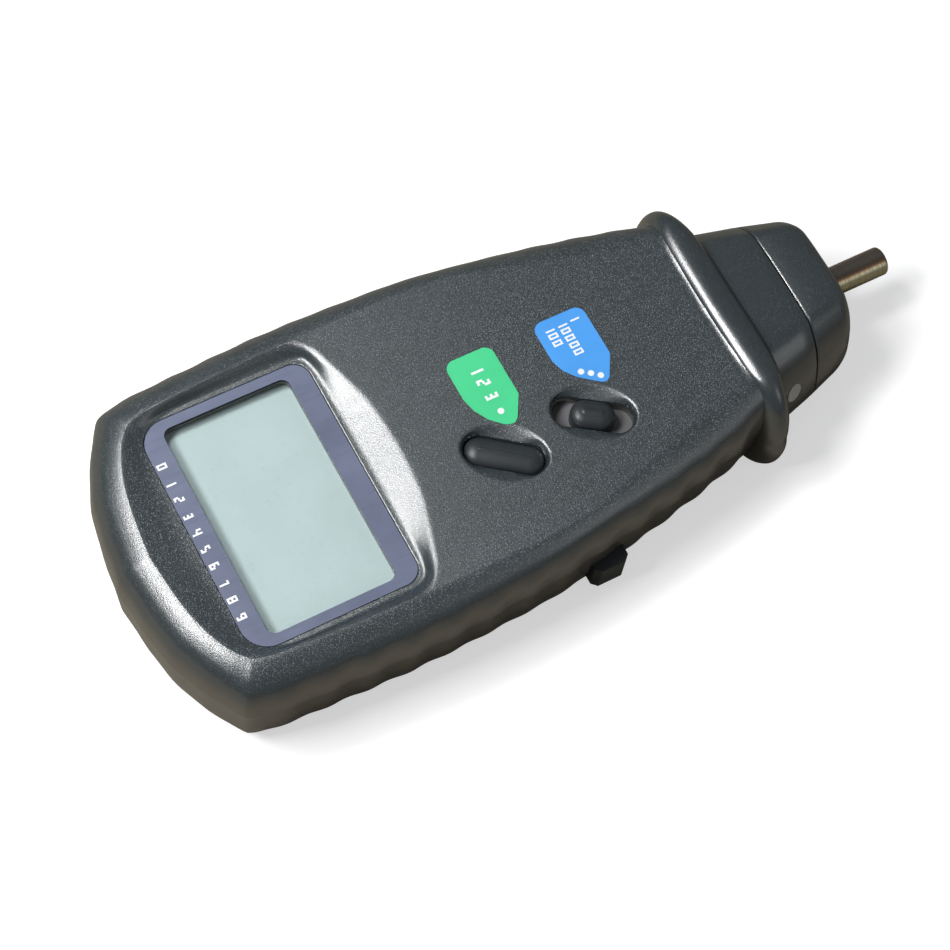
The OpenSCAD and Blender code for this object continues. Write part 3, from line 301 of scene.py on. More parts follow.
# Width and height shares of the arch over the neck, the ridge's crest and the underside
archShares = [[1, 0], [0.985, 0.1], [0.965, 0.2], [0.92, 0.4], [0.85, 0.6],
              [0.79, 0.72], [0.72, 0.82], [0.64, 0.91], [0.55, 0.965], [0.42, 0.985],
              [0.25, 0.995], [0, 1]]
ridgeShares = [[1, 0], [0.995, 0.1], [0.99, 0.2], [0.965, 0.4], [0.92, 0.6],
               [0.87, 0.74], [0.81, 0.85], [0.74, 0.93], [0.66, 0.97], [0.5, 0.99],
               [0.25, 0.997], [0, 1]]
keelShares = [[1, 0], [1.02, 0.18], [1.01, 0.45], [0.98, 0.68], [0.92, 0.84],
              [0.82, 0.94], [0.68, 0.98], [0.5, 0.99], [0.35, 0.994], [0.2, 0.997],
              [0.1, 0.999], [0, 1]]


# Sections across the collar ridge, the neck and the cap
def section(shares, halfW, rise, y, bow=0.0):
    p = throughPoints(shares, 4)
    half = np.c_[p[:, 0] * halfW, y + bow * (p[:, 0] - 1), case["joint"] + p[:, 1] * rise]
    return np.vstack([half, half[-2::-1] * [-1, 1, 1]])


def ridgeSections(up):
    top = (neck["top"] if up else neck["lift"]) - case["joint"]
    crest = case["height"] + collar["rise"] - case["joint"] if up else top
    rings = []
    for step in range(collar["steps"]):
        a = math.pi * step / collar["steps"]
        u, swell = -math.cos(a), math.sin(a)
        flank = (collar["footWidth"] * (1 - u) + neck["width"] * (1 + u)) / 4
        halfW = flank + (collar["width"] / 2 - flank) * swell
        shares = keelShares
        if up:
            shares = np.array(archShares) + (np.array(ridgeShares) - np.array(archShares)) * swell
        rings.append(section(shares, halfW, top + (crest - top) * swell,
                             collar["y"] + (1 + u) / 2 * collar["length"],
                             collar["bow"] * swell))
    shares = archShares if up else keelShares
    chamfer = neck["chamfer"]
    neckRun = [(neck["y"] + 0.3, 0), (neck["y"] + 1.5, 0), (neck["capY"] - 3, 0),
               (neck["capY"] - chamfer, 0), (neck["capY"] - chamfer * 0.35, chamfer * 0.3),
               (neck["capY"] - 0.1, chamfer)]
    for y, draw in neckRun:
        t = (y - neck["y"]) / (neck["capY"] - neck["y"])
        halfW = (neck["width"] + (neck["endWidth"] - neck["width"]) * t) / 2 - draw
        rings.append(section(shares, halfW, top - math.copysign(draw, top), y))
    return rings


def tube(name, up, shrink, fromY, toY, fromW, toW, fromTop, toTop):
    shares = archShares if up else keelShares
    draw = shrink if up else -shrink
    overlap = -0.2 if up else 0.2
    rings = []
    for y, w, top in ((fromY, fromW, fromTop), (toY, toW, toTop)):
        ring = section(shares, w - shrink, top - draw, y)
        ring[[0, -1], 2] += overlap
        rings.append(ring)
    return loft(name, rings)


def cutNeck(piece, up):
    top = (neck["top"] if up else neck["lift"]) - case["joint"]
    fromY, toY = collar["y"] - neck["hollowBack"], neck["capY"] + 1
    return combine(piece, tube("hollow", up, neck["wall"], fromY, toY, neck["width"] / 2,
                               neck["endWidth"] / 2, top, top))


print("scene: the upper shell")
faceRings = 112
# Inset share, height share of the rim and how deep the flutes run there
rimShares = [[0, 1, 1], [0.07, 0.62, 0.8], [0.22, 0.38, 0.2], [0.44, 0.2, 0],
             [0.68, 0.085, 0], [0.88, 0.02, 0], [1, 0, 0]]
# The room inside: inset, height and which way that height grows
hollow = {"upper": [(1.4, 13.0, 0), (1.6, 20.0, 0), (3.1, 24.0, 1)],
          "lower": [(5.4, 1.2, -1), (4.0, 2.4, 0), (2.6, 5.0, 0), (1.9, 9.0, 0),
                    (1.6, 15.0, 0)],
          "endY": 43.8, "wideEndY": 43.95, "grow": 0.15}
cutFrom, cutTo = 20, 30  # heights below and above the face, for cuts through it
spigotBox = [[-30, 60.5, 5], [30, 75, 30]]
rim = throughPoints([[0.0208, case["joint"], 1], [0.006, 16.0, 1]]
                    + [[s[0], case["height"] - s[1] * case["edgeDrop"], s[2]]
                       for s in rimShares], 6)
shellRings = [planRing(s, f, z) for s, z, f in rim]
edge = shellRings[-1]
anchor = np.c_[np.zeros(len(edge)), np.maximum(edge[:, 1], case["spineY"]), edge[:, 2]]
for t in np.arange(1, faceRings + 1) / faceRings:
    ring = edge + (anchor - edge) * t
    ring[:, 2] = faceHeight(ring[:, 0], ring[:, 1])
    shellRings.append(ring)
ringSize = len(edge)
upperVerts = np.vstack(shellRings)
upperFaces = [list(range(ringSize))]
for j in range(len(shellRings) - 1):
    a, b = j * ringSize, (j + 1) * ringSize
    upperFaces += [[a + i, a + (i + 1) % ringSize, b + (i + 1) % ringSize, b + i]
                   for i in range(ringSize)]
upper = makePiece("upperShell", upperVerts, upperFaces)


# The room inside a shell, or a slightly larger one that takes the shell's inner fittings
def core(shell, wide=False):
    grow, endY = (hollow["grow"], hollow["wideEndY"]) if wide else (0, hollow["endY"])
    return loft("core", [coreRing(inset - grow, z + way * grow, endY)
                         for inset, z, way in hollow[shell]])


combine(upper, core("upper"))
combine(upper, prism("lensSeat", rounded(lens["width"], lens["length"], lens["headR"],
                                         lens["endR"]), lens["seatZ"], cutTo))
combine(upper, prism("view", rounded(lens["viewW"], lens["viewL"], lens["viewR"],
                                     lens["viewR"]), cutFrom, cutTo))
for place in controls.values():
    combine(upper, prism("slot", pill(place["length"], dish["slotWidth"], place),
                         cutFrom, cutTo))
cutNeck(upper, True)
upperNeck = cutNeck(loft("upperNeck", ridgeSections(True)), True)
upperInner = combine(copyOfNode("top_case"), core("upper", True), "INTERSECT")
upperSpigot = combine(copyOfNode("top_case"), box("beyond", *spigotBox), "INTERSECT")

print("scene: the lower shell")
backShares = [[1, 0, 0], [0.77, 0.06, 0], [0.48, 0.17, 0.3], [0.23, 0.36, 0.8],
              [0.1, 0.64, 1], [0.03, 1, 1]]
backCorners = [16, 32, 72]  # in quarters of a flute from the display end's middle
opening = {"cover": [[-30.3, -92.3, -1], [30.3, -19.7, 3.7]],
           "lip": [[-40, -93, -1], [40, -78.6, 3.8]]}
headBox = [[-13.2, 40, 2], [13.2, 75, 13.99]]
screw = {"places": [(28.0, -14.0), (-28.0, -14.0), (17.0, 33.0), (-17.0, 33.0)],
         "holeR": 2.9, "holeTo": 5}
key = {"y": 2.7, "midZ": 7.4, "length": 8.0, "height": 7.6, "innerX": 29.4, "faceX": 37.3,
       "corner": 1.2, "holeHalfL": 4.3, "holeHalfH": 4.1}


def backRing(z):
    perColumn = columnsPerFlute / 4
    places = [columns[int(k * perColumn), :2] + columns[int(k * perColumn), 2:]
              * case["backIn"] / case["edgeIn"] for k in backCorners]
    k = np.arange(halfCount + 1) / perColumn
    x = np.interp(k, [0] + backCorners, [0] + [p[0] for p in places])
    y = np.interp(k, [0] + backCorners, [places[0][1]] + [p[1] for p in places])
    return bothHalves(np.c_[x, y], z)


back = throughPoints([[s[0] * case["backIn"] / case["edgeIn"], s[1] * case["joint"], s[2]]
                      for s in backShares], 6)
lower = loft("lowerShell", [backRing(0)] + [planRing(s, f, z) for s, z, f in back[3:]])
combine(lower, core("lower"))
for corners in opening.values():
    combine(lower, box("opening", *corners))
for x, y in screw["places"]:
    combine(lower, prism("screwHole", circle(screw["holeR"], 48, x, y), -1, screw["holeTo"]))
combine(lower, box("keyHole", [28, key["y"] - key["holeHalfL"], key["midZ"] - key["holeHalfH"]],
                   [40, key["y"] + key["holeHalfL"], key["midZ"] + key["holeHalfH"]]))
cutNeck(lower, False)
lowerNeck = cutNeck(loft("lowerNeck", ridgeSections(False)), False)
lowerInner = combine(copyOfNode("bottom_case"), core("lower", True), "INTERSECT")
lowerHead = combine(copyOfNode("bottom_case"), box("headPart", *headBox), "INTERSECT")

print("scene: cap, spindle and controls")
nose = {"length": 3.4, "draw": 2.3, "steps": 12}
capWall = 2
shaft = {"height": 12.4, "diameter": 6.5, "tipY": 92.0, "bore": 3.8,
         "insideBox": [[-9, 20, 0], [9, 73.75, 25]]}
memoryShape = {"length": 16.7, "width": 6.3, "low": 22.7, "high": 28.0, "roundIn": 2.9,
               "roundDown": 1.8, "dome": 0.12}
modeShape = {"length": 9.5, "width": 6.3, "low": 22.7, "high": 28.6, "roundIn": 2.3,
             "roundDown": 1.9, "dome": 0.2}
flange = {"width": 9.7, "low": 22.7, "high": 24.2, "memoryLength": 20.1, "shutterLength": 26.9}


def wholeSection(halfW, rise, drop, y):
    top = section(archShares, halfW, rise, y)
    bottom = section(keelShares, halfW, -drop, y)
    return np.vstack([top, bottom[-2:0:-1]])


capSlope = (neck["endWidth"] - neck["capWidth"]) / 2 / (neck["frontY"] - neck["capY"])
capDrop = case["joint"] - neck["lift"]
capRings = []
noseSteps = [(neck["frontY"] - nose["length"] * (1 - math.sin(a)), nose["draw"] * (1 - math.cos(a)))
             for a in np.linspace(0, math.pi / 2, nose["steps"])]
for y, draw in [(neck["capY"] + 0.1, 0.5), (neck["capY"] + 0.25, 0.2),
                (neck["capY"] + 0.6, 0)] + noseSteps:
    t = (y - neck["capY"]) / (neck["frontY"] - neck["capY"])
    rise = neck["top"] + (neck["capTop"] - neck["top"]) * t - case["joint"]
    capRings.append(wholeSection(neck["endWidth"] / 2 - capSlope * (y - neck["capY"]) - draw,
                                 rise - draw, capDrop - draw, y))
cap = loft("endCap", capRings)
hollowRings = [wholeSection(halfW - capWall, top - case["joint"] - capWall, capDrop - capWall, y)
               for halfW, top, y in
               ((neck["endWidth"] / 2 + 0.3, neck["top"], neck["capY"] - 1),
                (neck["capWidth"] / 2, neck["capTop"], neck["frontY"] - capWall))]
combine(cap, loft("capHollow", hollowRings))


def rod(name, profile, count=96):
    a = np.linspace(0, 2 * np.pi, count, endpoint=False)
    return loft(name, [np.c_[r * np.cos(a), np.full(count, y), shaft["height"] + r * np.sin(a)]
                       for y, r in profile])


combine(cap, rod("bore", [(neck["capY"], shaft["bore"]), (neck["frontY"] + 1, shaft["bore"])]))
free = shaft["diameter"] / 2
spindleParts = combine(copyOfNode("spindle"), box("inside", *shaft["insideBox"]), "INTERSECT")
spindle = rod("spindleShaft", [(73.6, free - 0.01), (73.75, free), (76, free), (80, free),
                               (90, free), (91.3, free), (91.5, free - 0.04),
                               (91.72, free - 0.16), (91.88, free - 0.36), (91.97, free - 0.62),
                               (shaft["tipY"], free - 0.9)])


# A pill with a rounded shoulder and a slightly domed top
def crowned(name, shape, place):
    high, dome, roundDown = shape["high"], shape["dome"], shape["roundDown"]
    steps = [(0, shape["low"]), (0, high - roundDown - dome)]
    for a in np.linspace(0, math.pi / 2, 12)[1:]:
        steps.append((shape["roundIn"] * (1 - math.cos(a)),
                      high - dome - roundDown * (1 - math.sin(a))))
    rest = shape["width"] / 2 - shape["roundIn"]
    for t in np.linspace(0, 1, 7)[1:]:
        steps.append((shape["roundIn"] + rest * t * 0.999, high - dome * (1 - t * (2 - t))))
    rings = []
    for inset, z in steps:
        flat = pill(shape["length"] - 2 * inset, shape["width"] - 2 * inset, place)
        rings.append(np.c_[flat, np.full(len(flat), z)])
    return loft(name, rings)


memoryPlace, modePlace = controls["memory"], controls["mode"]
memoryButton = crowned("memoryButton", memoryShape, memoryPlace)
memoryFlange = prism("memoryFlange", pill(flange["memoryLength"], flange["width"], memoryPlace),
                     flange["low"], flange["high"])
modeKnob = crowned("modeKnob", modeShape, modePlace)


def turnedBox(name, length, width, low, high, place):
    turn = math.radians(place["turn"])
    c, s = math.cos(turn), math.sin(turn)
    corners = [[length / 2, -width / 2], [length / 2, width / 2], [-length / 2, width / 2],
               [-length / 2, -width / 2]]
    return prism(name, [[place["x"] + u * c - v * s, place["y"] + u * s + v * c]
                        for u, v in corners], low, high)


modeShutter = turnedBox("modeShutter", flange["shutterLength"], flange["width"], flange["low"],
                        flange["high"], modePlace)
halfKey, nib = key["length"] / 2, key["corner"]
keyOutline = [[key["innerX"], -halfKey], [key["innerX"], halfKey],
              [key["faceX"] - nib, halfKey], [key["faceX"], halfKey - nib],
              [key["faceX"], -halfKey + nib], [key["faceX"] - nib, -halfKey]]
measureKey = prism("measureKey", [[x, key["y"] + y] for x, y in keyOutline],
                   key["midZ"] - key["height"] / 2, key["midZ"] + key["height"] / 2)

print("scene: window and display")
window = {"gap": 0.3, "low": 24.8, "high": 26.1, "filmLow": 26.11, "filmHigh": 26.15,
          "filmIn": 0.6}
paneOutline = rounded(lens["width"] - window["gap"], lens["length"] - window["gap"],
                      lens["headR"], lens["endR"])
pane = prism("windowPane", paneOutline, window["low"], window["high"])
border = prism("windowBorder", paneOutline, window["filmLow"], window["filmHigh"])
combine(border, prism("viewHole", rounded(lens["viewW"] - window["filmIn"],
                                          lens["viewL"] - window["filmIn"], lens["viewR"],
                                          lens["viewR"]), 25, 27))

print("scene: labels and sticker")
label = {"left": -12.3, "width": 18.2, "corner": 2.2, "low": 28.3, "high": 28.42,
         "modeLength": 11.8, "modeBack": 23.2, "memoryLength": 10.9, "memoryBack": 44.9}
modeShares = [[0.12, 0], [0.5, 0], [0.665, 0.08], [0.8, 0.24], [0.915, 0.46], [0.985, 0.6],
              [0.995, 0.68], [0.96, 0.76], [0.70, 1], [0.12, 1]]
memoryShares = [[0.12, 0], [0.5, 0], [0.665, 0.07], [0.83, 0.22], [0.965, 0.45],
                [0.995, 0.56], [0.995, 0.66], [0.955, 0.74], [0.695, 1], [0.12, 1]]


# A label with a rounded left end, at its distance back from the collar
def labelPiece(name, shares, length, back):
    r = label["corner"]
    a = np.radians(90 + 180 * np.arange(21) / 20)
    left = [[label["left"] + r + r * math.cos(t), (length - r if t < math.pi else r)
             + r * math.sin(t)] for t in a]
    body = [[label["left"] + s[0] * label["width"], s[1] * length] for s in shares[1:-1]]
    outline = np.array(left + [[label["left"] + r, 0]] + body)
    outline[:, 1] += collar["y"] - back - length
    return prism(name, outline, label["low"], label["high"])


modeLabel = labelPiece("modeLabel", modeShares, label["modeLength"], label["modeBack"])
memoryLabel = labelPiece("memoryLabel", memoryShares, label["memoryLength"],
                         label["memoryBack"])


def printedDot(name, x, y, r):
    return prism(name, circle(r, 28, x, y), label["high"] - 0.02, label["high"] + 0.03)


# Plain numerals from seven bars each, as the object's own words aren't copied
bars = {"0": "abcdef", "1": "bc", "2": "abged", "3": "abgcd", "4": "fgbc", "5": "afgcd",
        "6": "afgedc", "7": "abc", "8": "abcdefg", "9": "abcdfg"}


def numerals(name, text, x, y, height, low, pitch=0.86, stroke=0.19):
    w, t, h, gap = height * 0.6, height * stroke, height, 0.004
    inner, outer = t + gap, w - t - gap
    spans = {"a": (inner, outer, h - t, h), "g": (inner, outer, (h - t) / 2, (h + t) / 2),
             "d": (inner, outer, 0, t), "b": (w - t, w, h / 2 + gap, h),
             "c": (w - t, w, 0, h / 2 - gap), "f": (0, t, h / 2 + gap, h),
             "e": (0, t, 0, h / 2 - gap)}
    verts, faces = [], []
    for i, letter in enumerate(text):
        for bar in bars.get(letter, ""):
            x0, x1, y0, y1 = spans[bar]
            x0, x1 = x + i * height * pitch + x0, x + i * height * pitch + x1
            k = len(verts)
            verts += [[a, b, z] for z in (low, low + 0.03)
                      for a, b in ((x0, y + y0), (x1, y + y0), (x1, y + y1), (x0, y + y1))]
            faces += [[k, k + 1, k + 2, k + 3], [k + 4, k + 5, k + 6, k + 7]]
            faces += [[k + j, k + (j + 1) % 4, k + 4 + (j + 1) % 4, k + 4 + j] for j in range(4)]
    return makePiece(name, verts, faces)


printLow = label["high"] - 0.01
marks = [printedDot("modeMark%d" % i, x, y, 0.68)
         for i, (x, y) in enumerate([(1.6, 12.5), (2.8, 14.2), (4.1, 15.8)])]
marks += [numerals("modeRow%d" % i, text, x, y, 2.1, printLow)
          for i, (text, x, y) in enumerate([("1", -10.8, 16.3), ("10000", -10.6, 13.3),
                                            ("100", -10.6, 10.3)])]
memoryMarks = [printedDot("memoryMark", 2.3, -6.8, 0.7),
               numerals("memoryRow", "123", -9.2, -8.3, 2.8, printLow, 1.18)]
stripMarks = numerals("windowRow", "0 1 2 3 4 5 6 7 8 9", -18.2, -74.7, 2.1, 26.14, 0.96)

# Round paper sticker on the neck's right side
sticker = {"y": 55.4, "z": 16.6, "semiY": 1.9, "semiZ": 2.1, "lift": 0.14}


def neckSide(y, z):
    shares = np.array(archShares)
    rise = (z - case["joint"]) / (neck["top"] - case["joint"])
    share = np.interp(rise, shares[:, 1], shares[:, 0])
    t = (y - neck["y"]) / (neck["capY"] - neck["y"])
    return share * (neck["width"] + (neck["endWidth"] - neck["width"]) * t) / 2


stickerRings = []
for out in (-0.05, sticker["lift"]):
    ring = []
    for a in np.linspace(0, 2 * np.pi, 48, endpoint=False):
        y = sticker["y"] + sticker["semiY"] * math.cos(a)
        z = sticker["z"] + sticker["semiZ"] * math.sin(a)
        ring.append([neckSide(y, z) + out, y, z])
    stickerRings.append(ring)
stickerPiece = loft("sticker", stickerRings)

print("scene: materials")


def newMaterial(name):
    material = bpy.data.materials.new(name)
    material.use_nodes = True
    tree = material.node_tree
    return material, tree, tree.nodes["Principled BSDF"]


def addNode(tree, kind, **values):
    node = tree.nodes.new(kind)
    for k, v in values.items():
        if hasattr(node, k):
            setattr(node, k, v)
        else:
            node.inputs[k.replace("_", " ")].default_value = v
    return node


def noise(tree, scale, detail=2.0, rough=0.5, stretch=(1, 1, 1)):
    coords = addNode(tree, "ShaderNodeTexCoord")
    mapping = addNode(tree, "ShaderNodeMapping")
    mapping.inputs["Scale"].default_value = stretch
    tree.links.new(coords.outputs["Object"], mapping.inputs["Vector"])
    texture = addNode(tree, "ShaderNodeTexNoise", Scale=scale, Detail=detail, Roughness=rough)
    tree.links.new(mapping.outputs["Vector"], texture.inputs["Vector"])
    return texture.outputs["Fac"]


def remap(tree, value, low, high, toLow, toHigh):
    node = addNode(tree, "ShaderNodeMapRange")
    node.inputs["From Min"].default_value = low
    node.inputs["From Max"].default_value = high
    node.inputs["To Min"].default_value = toLow
    node.inputs["To Max"].default_value = toHigh
    tree.links.new(value, node.inputs["Value"])
    return node.outputs["Result"]


def mixColour(tree, factor, a, b):
    node = tree.nodes.new("ShaderNodeMix")
    node.data_type = "RGBA"
    tree.links.new(factor, node.inputs["Factor"])
    for index, colour in ((6, a), (7, b)):
        if isinstance(colour, (tuple, list)):
            node.inputs[index].default_value = tuple(colour) + (1,)
        else:
            tree.links.new(colour, node.inputs[index])
    return node.outputs[2]


def bump(tree, shader, height, strength, distance):
    node = addNode(tree, "ShaderNodeBump", Strength=strength, Distance=distance)
    tree.links.new(height, node.inputs["Height"])
    tree.links.new(node.outputs["Normal"], shader.inputs["Normal"])


def multiply(tree, a, b):
    node = addNode(tree, "ShaderNodeMath", operation="MULTIPLY")
    tree.links.new(a, node.inputs[0])
    tree.links.new(b, node.inputs[1])
    return node.outputs[0]


# A plain material with fine grain, slow colour change and uneven gloss
def grained(name, colour, roughness, metallic=0.0, grain=2500, depth=0.00002, vary=0.25,
            stretch=(1, 1, 1), coat=0.0):
    material, tree, shader = newMaterial(name)
    slow = noise(tree, 90, 3)
    fine = noise(tree, grain, 2, 0.6, stretch)
    dark = tuple(c * (1 - vary) for c in colour)
    light = tuple(min(c * (1 + vary), 1) for c in colour)
    tree.links.new(mixColour(tree, remap(tree, slow, 0.3, 0.7, 0, 1), dark, light),
                   shader.inputs["Base Color"])
    tree.links.new(remap(tree, fine, 0.3, 0.7, roughness - 0.06, roughness + 0.08),
                   shader.inputs["Roughness"])
    shader.inputs["Metallic"].default_value = metallic
    shader.inputs["Coat Weight"].default_value = coat
    bump(tree, shader, fine, 0.4, depth)
    return material


# The satin paint: dark from above, with a painted warm reflection on the sides and painted glints
# on level surfaces
casePaint = {"base": (0.012, 0.021, 0.025), "sideReflection": (0.05, 0.046, 0.036),
             "glintColour": (0.24, 0.28, 0.3), "glintGrain": 4600, "glintRange": (0.58, 0.7),
             "levelFrom": (0.62, 0.93), "reflectionFrom": (0.1, 0.42), "ridgeY": (0.041, 0.046),
             "cloud": 60, "roughness": 0.3, "grain": 3800, "grainDepth": 0.00012,
             "specular": 0.9, "ior": 1.8}


def caseMaterial():
    material, tree, shader = newMaterial("caseSatin")
    geometry = addNode(tree, "ShaderNodeNewGeometry")
    split = addNode(tree, "ShaderNodeSeparateXYZ")
    tree.links.new(geometry.outputs["Normal"], split.inputs["Vector"])
    lean = remap(tree, split.outputs["Z"], *casePaint["levelFrom"], 0.15, 1)
    place = addNode(tree, "ShaderNodeTexCoord")
    along = addNode(tree, "ShaderNodeSeparateXYZ")
    tree.links.new(place.outputs["Object"], along.inputs["Vector"])
    flatness = multiply(tree, lean, remap(tree, along.outputs["Y"], *casePaint["ridgeY"], 1, 0.3))
    # Painted reflection: a warm tone mixed into the colour where the surface stands upright, in
    # place of a warm surface mirrored there
    reflectionShare = remap(tree, split.outputs["Z"], *casePaint["reflectionFrom"], 1, 0)
    fine = noise(tree, casePaint["grain"], 2, 0.6)
    # Painted glints: light specks in the colour, only on level surfaces that face the lamps
    glints = remap(tree, noise(tree, casePaint["glintGrain"], 1, 0.5),
                    *casePaint["glintRange"], 0, 1)
    cloud = noise(tree, casePaint["cloud"], 3)
    base = mixColour(tree, remap(tree, cloud, 0.3, 0.7, 0, 1),
                     tuple(c * 0.9 for c in casePaint["base"]),
                     tuple(c * 1.1 for c in casePaint["base"]))
    withReflection = mixColour(tree, reflectionShare, base, casePaint["sideReflection"])
    # The painted glints are mixed into the colour here
    colour = mixColour(tree, multiply(tree, glints, flatness), withReflection, casePaint["glintColour"])
    tree.links.new(colour, shader.inputs["Base Color"])
    tree.links.new(remap(tree, flatness, 0, 1, casePaint["roughness"] - 0.04,
                         casePaint["roughness"] + 0.03), shader.inputs["Roughness"])
    shader.inputs["Specular IOR Level"].default_value = casePaint["specular"]
    shader.inputs["IOR"].default_value = casePaint["ior"]
    bump(tree, shader, multiply(tree, fine, flatness), 0.6, casePaint["grainDepth"])
    return material


caseSatin = caseMaterial()
controlRubber = grained("controlRubber", (0.022, 0.027, 0.03), 0.42, 0, 3800, 0.00002)
shutterGrey = grained("shutterGrey", (0.13, 0.13, 0.135), 0.6, 0, 3000, 0.00004)
# Painted light and shade round the shaft, by the lean of its surface: from a shaded left side to a
# painted highlight on the right
shaftShading = [(0.0, (0.34, 0.3, 0.25)), (0.3, (0.26, 0.2, 0.16)), (0.42, (0.36, 0.24, 0.16)),
              (0.52, (0.55, 0.3, 0.16)), (0.58, (0.6, 0.5, 0.34)), (0.75, (0.85, 0.8, 0.52)),
              (0.95, (0.5, 0.45, 0.3))]


def shaftMaterial():
    material, tree, shader = newMaterial("turnedSteel")
    geometry = addNode(tree, "ShaderNodeNewGeometry")
    split = addNode(tree, "ShaderNodeSeparateXYZ")
    tree.links.new(geometry.outputs["Normal"], split.inputs["Vector"])
    rings = noise(tree, 1500, 2, 0.6, (0.05, 1.6, 0.05))
    ramp = addNode(tree, "ShaderNodeValToRGB")
    ramp.color_ramp.elements.remove(ramp.color_ramp.elements[1])
    for i, (place, colour) in enumerate(shaftShading):
        stop = ramp.color_ramp.elements[0] if i == 0 else ramp.color_ramp.elements.new(place)
        stop.position, stop.color = place, colour + (1,)
    # The ramp follows the normal's x, so it paints the shading and the highlight
    tree.links.new(split.outputs["X"], ramp.inputs["Fac"])
    turned = remap(tree, rings, 0.35, 0.65, 0, 0.35)
    tree.links.new(mixColour(tree, turned, ramp.outputs["Color"], (0.1, 0.08, 0.06)),
                   shader.inputs["Base Color"])
    shader.inputs["Metallic"].default_value = 1
    tree.links.new(remap(tree, rings, 0.3, 0.7, 0.22, 0.4), shader.inputs["Roughness"])
    bump(tree, shader, rings, 0.35, 0.00002)
    return material


turnedSteel = shaftMaterial()


def paneMaterial():
    material, tree, shader = newMaterial("clearPane")
    glossy = addNode(tree, "ShaderNodeBsdfGlossy")
    clear = addNode(tree, "ShaderNodeBsdfTransparent")
    fresnel = addNode(tree, "ShaderNodeFresnel", IOR=1.45)
    mix = addNode(tree, "ShaderNodeMixShader")
    haze = remap(tree, noise(tree, 40, 2), 0.3, 0.7, 0.06, 0.12)
    tree.links.new(haze, glossy.inputs["Roughness"])
    clear.inputs["Color"].default_value = (0.95, 0.96, 0.98, 1)
    geometry = addNode(tree, "ShaderNodeNewGeometry")  # it reflects on its outer side alone
    outside = remap(tree, geometry.outputs["Backfacing"], 0, 1, 1, 0)
    tree.links.new(multiply(tree, fresnel.outputs[0], outside), mix.inputs[0])
    tree.links.new(clear.outputs[0], mix.inputs[1])
    tree.links.new(glossy.outputs[0], mix.inputs[2])
    tree.links.new(mix.outputs[0], tree.nodes["Material Output"].inputs["Surface"])
    tree.nodes.remove(shader)
    return material


clearPane = paneMaterial()
borderFilm = grained("borderFilm", (0.135, 0.155, 0.23), 0.3, 0, 600, 0.000004, 0.12, (1, 0.1, 1))
displayFilm = grained("displayFilm", (0.53, 0.64, 0.585), 0.32, 0, 900, 0.000003, 0.03)
stickerPaper = grained("stickerPaper", (0.55, 0.56, 0.55), 0.55, 0, 1500, 0.00001, 0.12)
blueFilm = grained("blueFilm", (0.075, 0.34, 0.83), 0.35, 0, 1200, 0.000004, 0.06)
greenFilm = grained("greenFilm", (0.07, 0.62, 0.27), 0.35, 0, 1200, 0.000004, 0.06)
whiteInk = grained("whiteInk", (0.85, 0.87, 0.88), 0.4, 0, 1500, 0.000002, 0.03)
plainLooks = {
    "case": caseSatin, "control": controlRubber, "display": displayFilm,
    "window": borderFilm, "blue_label": blueFilm, "green_label": greenFilm,
    "board": grained("solderMask", (0.02, 0.13, 0.06), 0.35, 0, 500, 0.00001),
    "steel": grained("plainSteel", (0.55, 0.54, 0.52), 0.32, 1, 1500, 0.00001, 0.1),
    "bronze": grained("sinteredBronze", (0.5, 0.32, 0.16), 0.42, 1, 2500, 0.00002, 0.15),
    "moulding": grained("blackMoulding", (0.02, 0.02, 0.022), 0.5, 0, 2000),
    "pale_moulding": grained("paleMoulding", (0.62, 0.6, 0.54), 0.5, 0, 2000, 0.00002, 0.06),
    "strip": grained("siliconeStrip", (0.62, 0.25, 0.38), 0.6, 0, 900),
    "cast": grained("machinedAluminium", (0.45, 0.46, 0.48), 0.38, 1, 1300, 0.00001, 0.1),
    "cell": grained("cellSleeve", (0.05, 0.09, 0.2), 0.28, 0, 700, 0.000005, 0.1, coat=0.3),
}
slotOf = {row["node"]: row["material_slot"] for row in frame["record"]["subparts"]}
for name, node in nodes.items():
    node.data.materials.clear()
    node.data.materials.append(plainLooks[slotOf[name]])

dress(smooth(join(upper, upperNeck, upperInner, upperSpigot)), caseSatin, "case",
      "case", "top_case")
dress(smooth(join(lower, lowerNeck, lowerInner, lowerHead)), caseSatin, "case", "case",
      "bottom_case")
dress(smooth(cap), caseSatin, "case", "case", "end_cap")
dress(smooth(join(spindle, spindleParts)), turnedSteel, "spindle", "steel", "spindle")
dress(smooth(join(memoryButton, memoryFlange)), controlRubber, "memory_button", "control",
      "memory_button")
dress(smooth(modeKnob), controlRubber, "mode_knob", "control", "mode_knob")
dress(modeShutter, shutterGrey, "mode_knob", "control")
dress(smooth(measureKey), controlRubber, "measure_key", "control", "measure_key")
dress(smooth(pane), clearPane, "case", "window", "window")
dress(border, borderFilm, "case", "window")
dress(smooth(modeLabel), blueFilm, "case", "blue_label", "mode_label")
dress(smooth(memoryLabel), greenFilm, "case", "green_label", "memory_label")
for piece in marks:
    dress(piece, whiteInk, "case", "blue_label")
for piece in memoryMarks:
    dress(piece, whiteInk, "case", "green_label")
dress(stripMarks, whiteInk, "case", "window")
dress(smooth(stickerPiece), stickerPaper, "case", "case")

print("scene: floor, lights and camera")
floorLook = {"reach": 6000, "seen": 0.62, "glow": 0.55, "bounce": (0.3, 0.27, 0.22)}
reach = floorLook["reach"]
floorPiece = makePiece("floor", [[-reach, -reach, 0], [reach, -reach, 0], [reach, reach, 0],
                                 [-reach, reach, 0]], [[0, 1, 2, 3]])


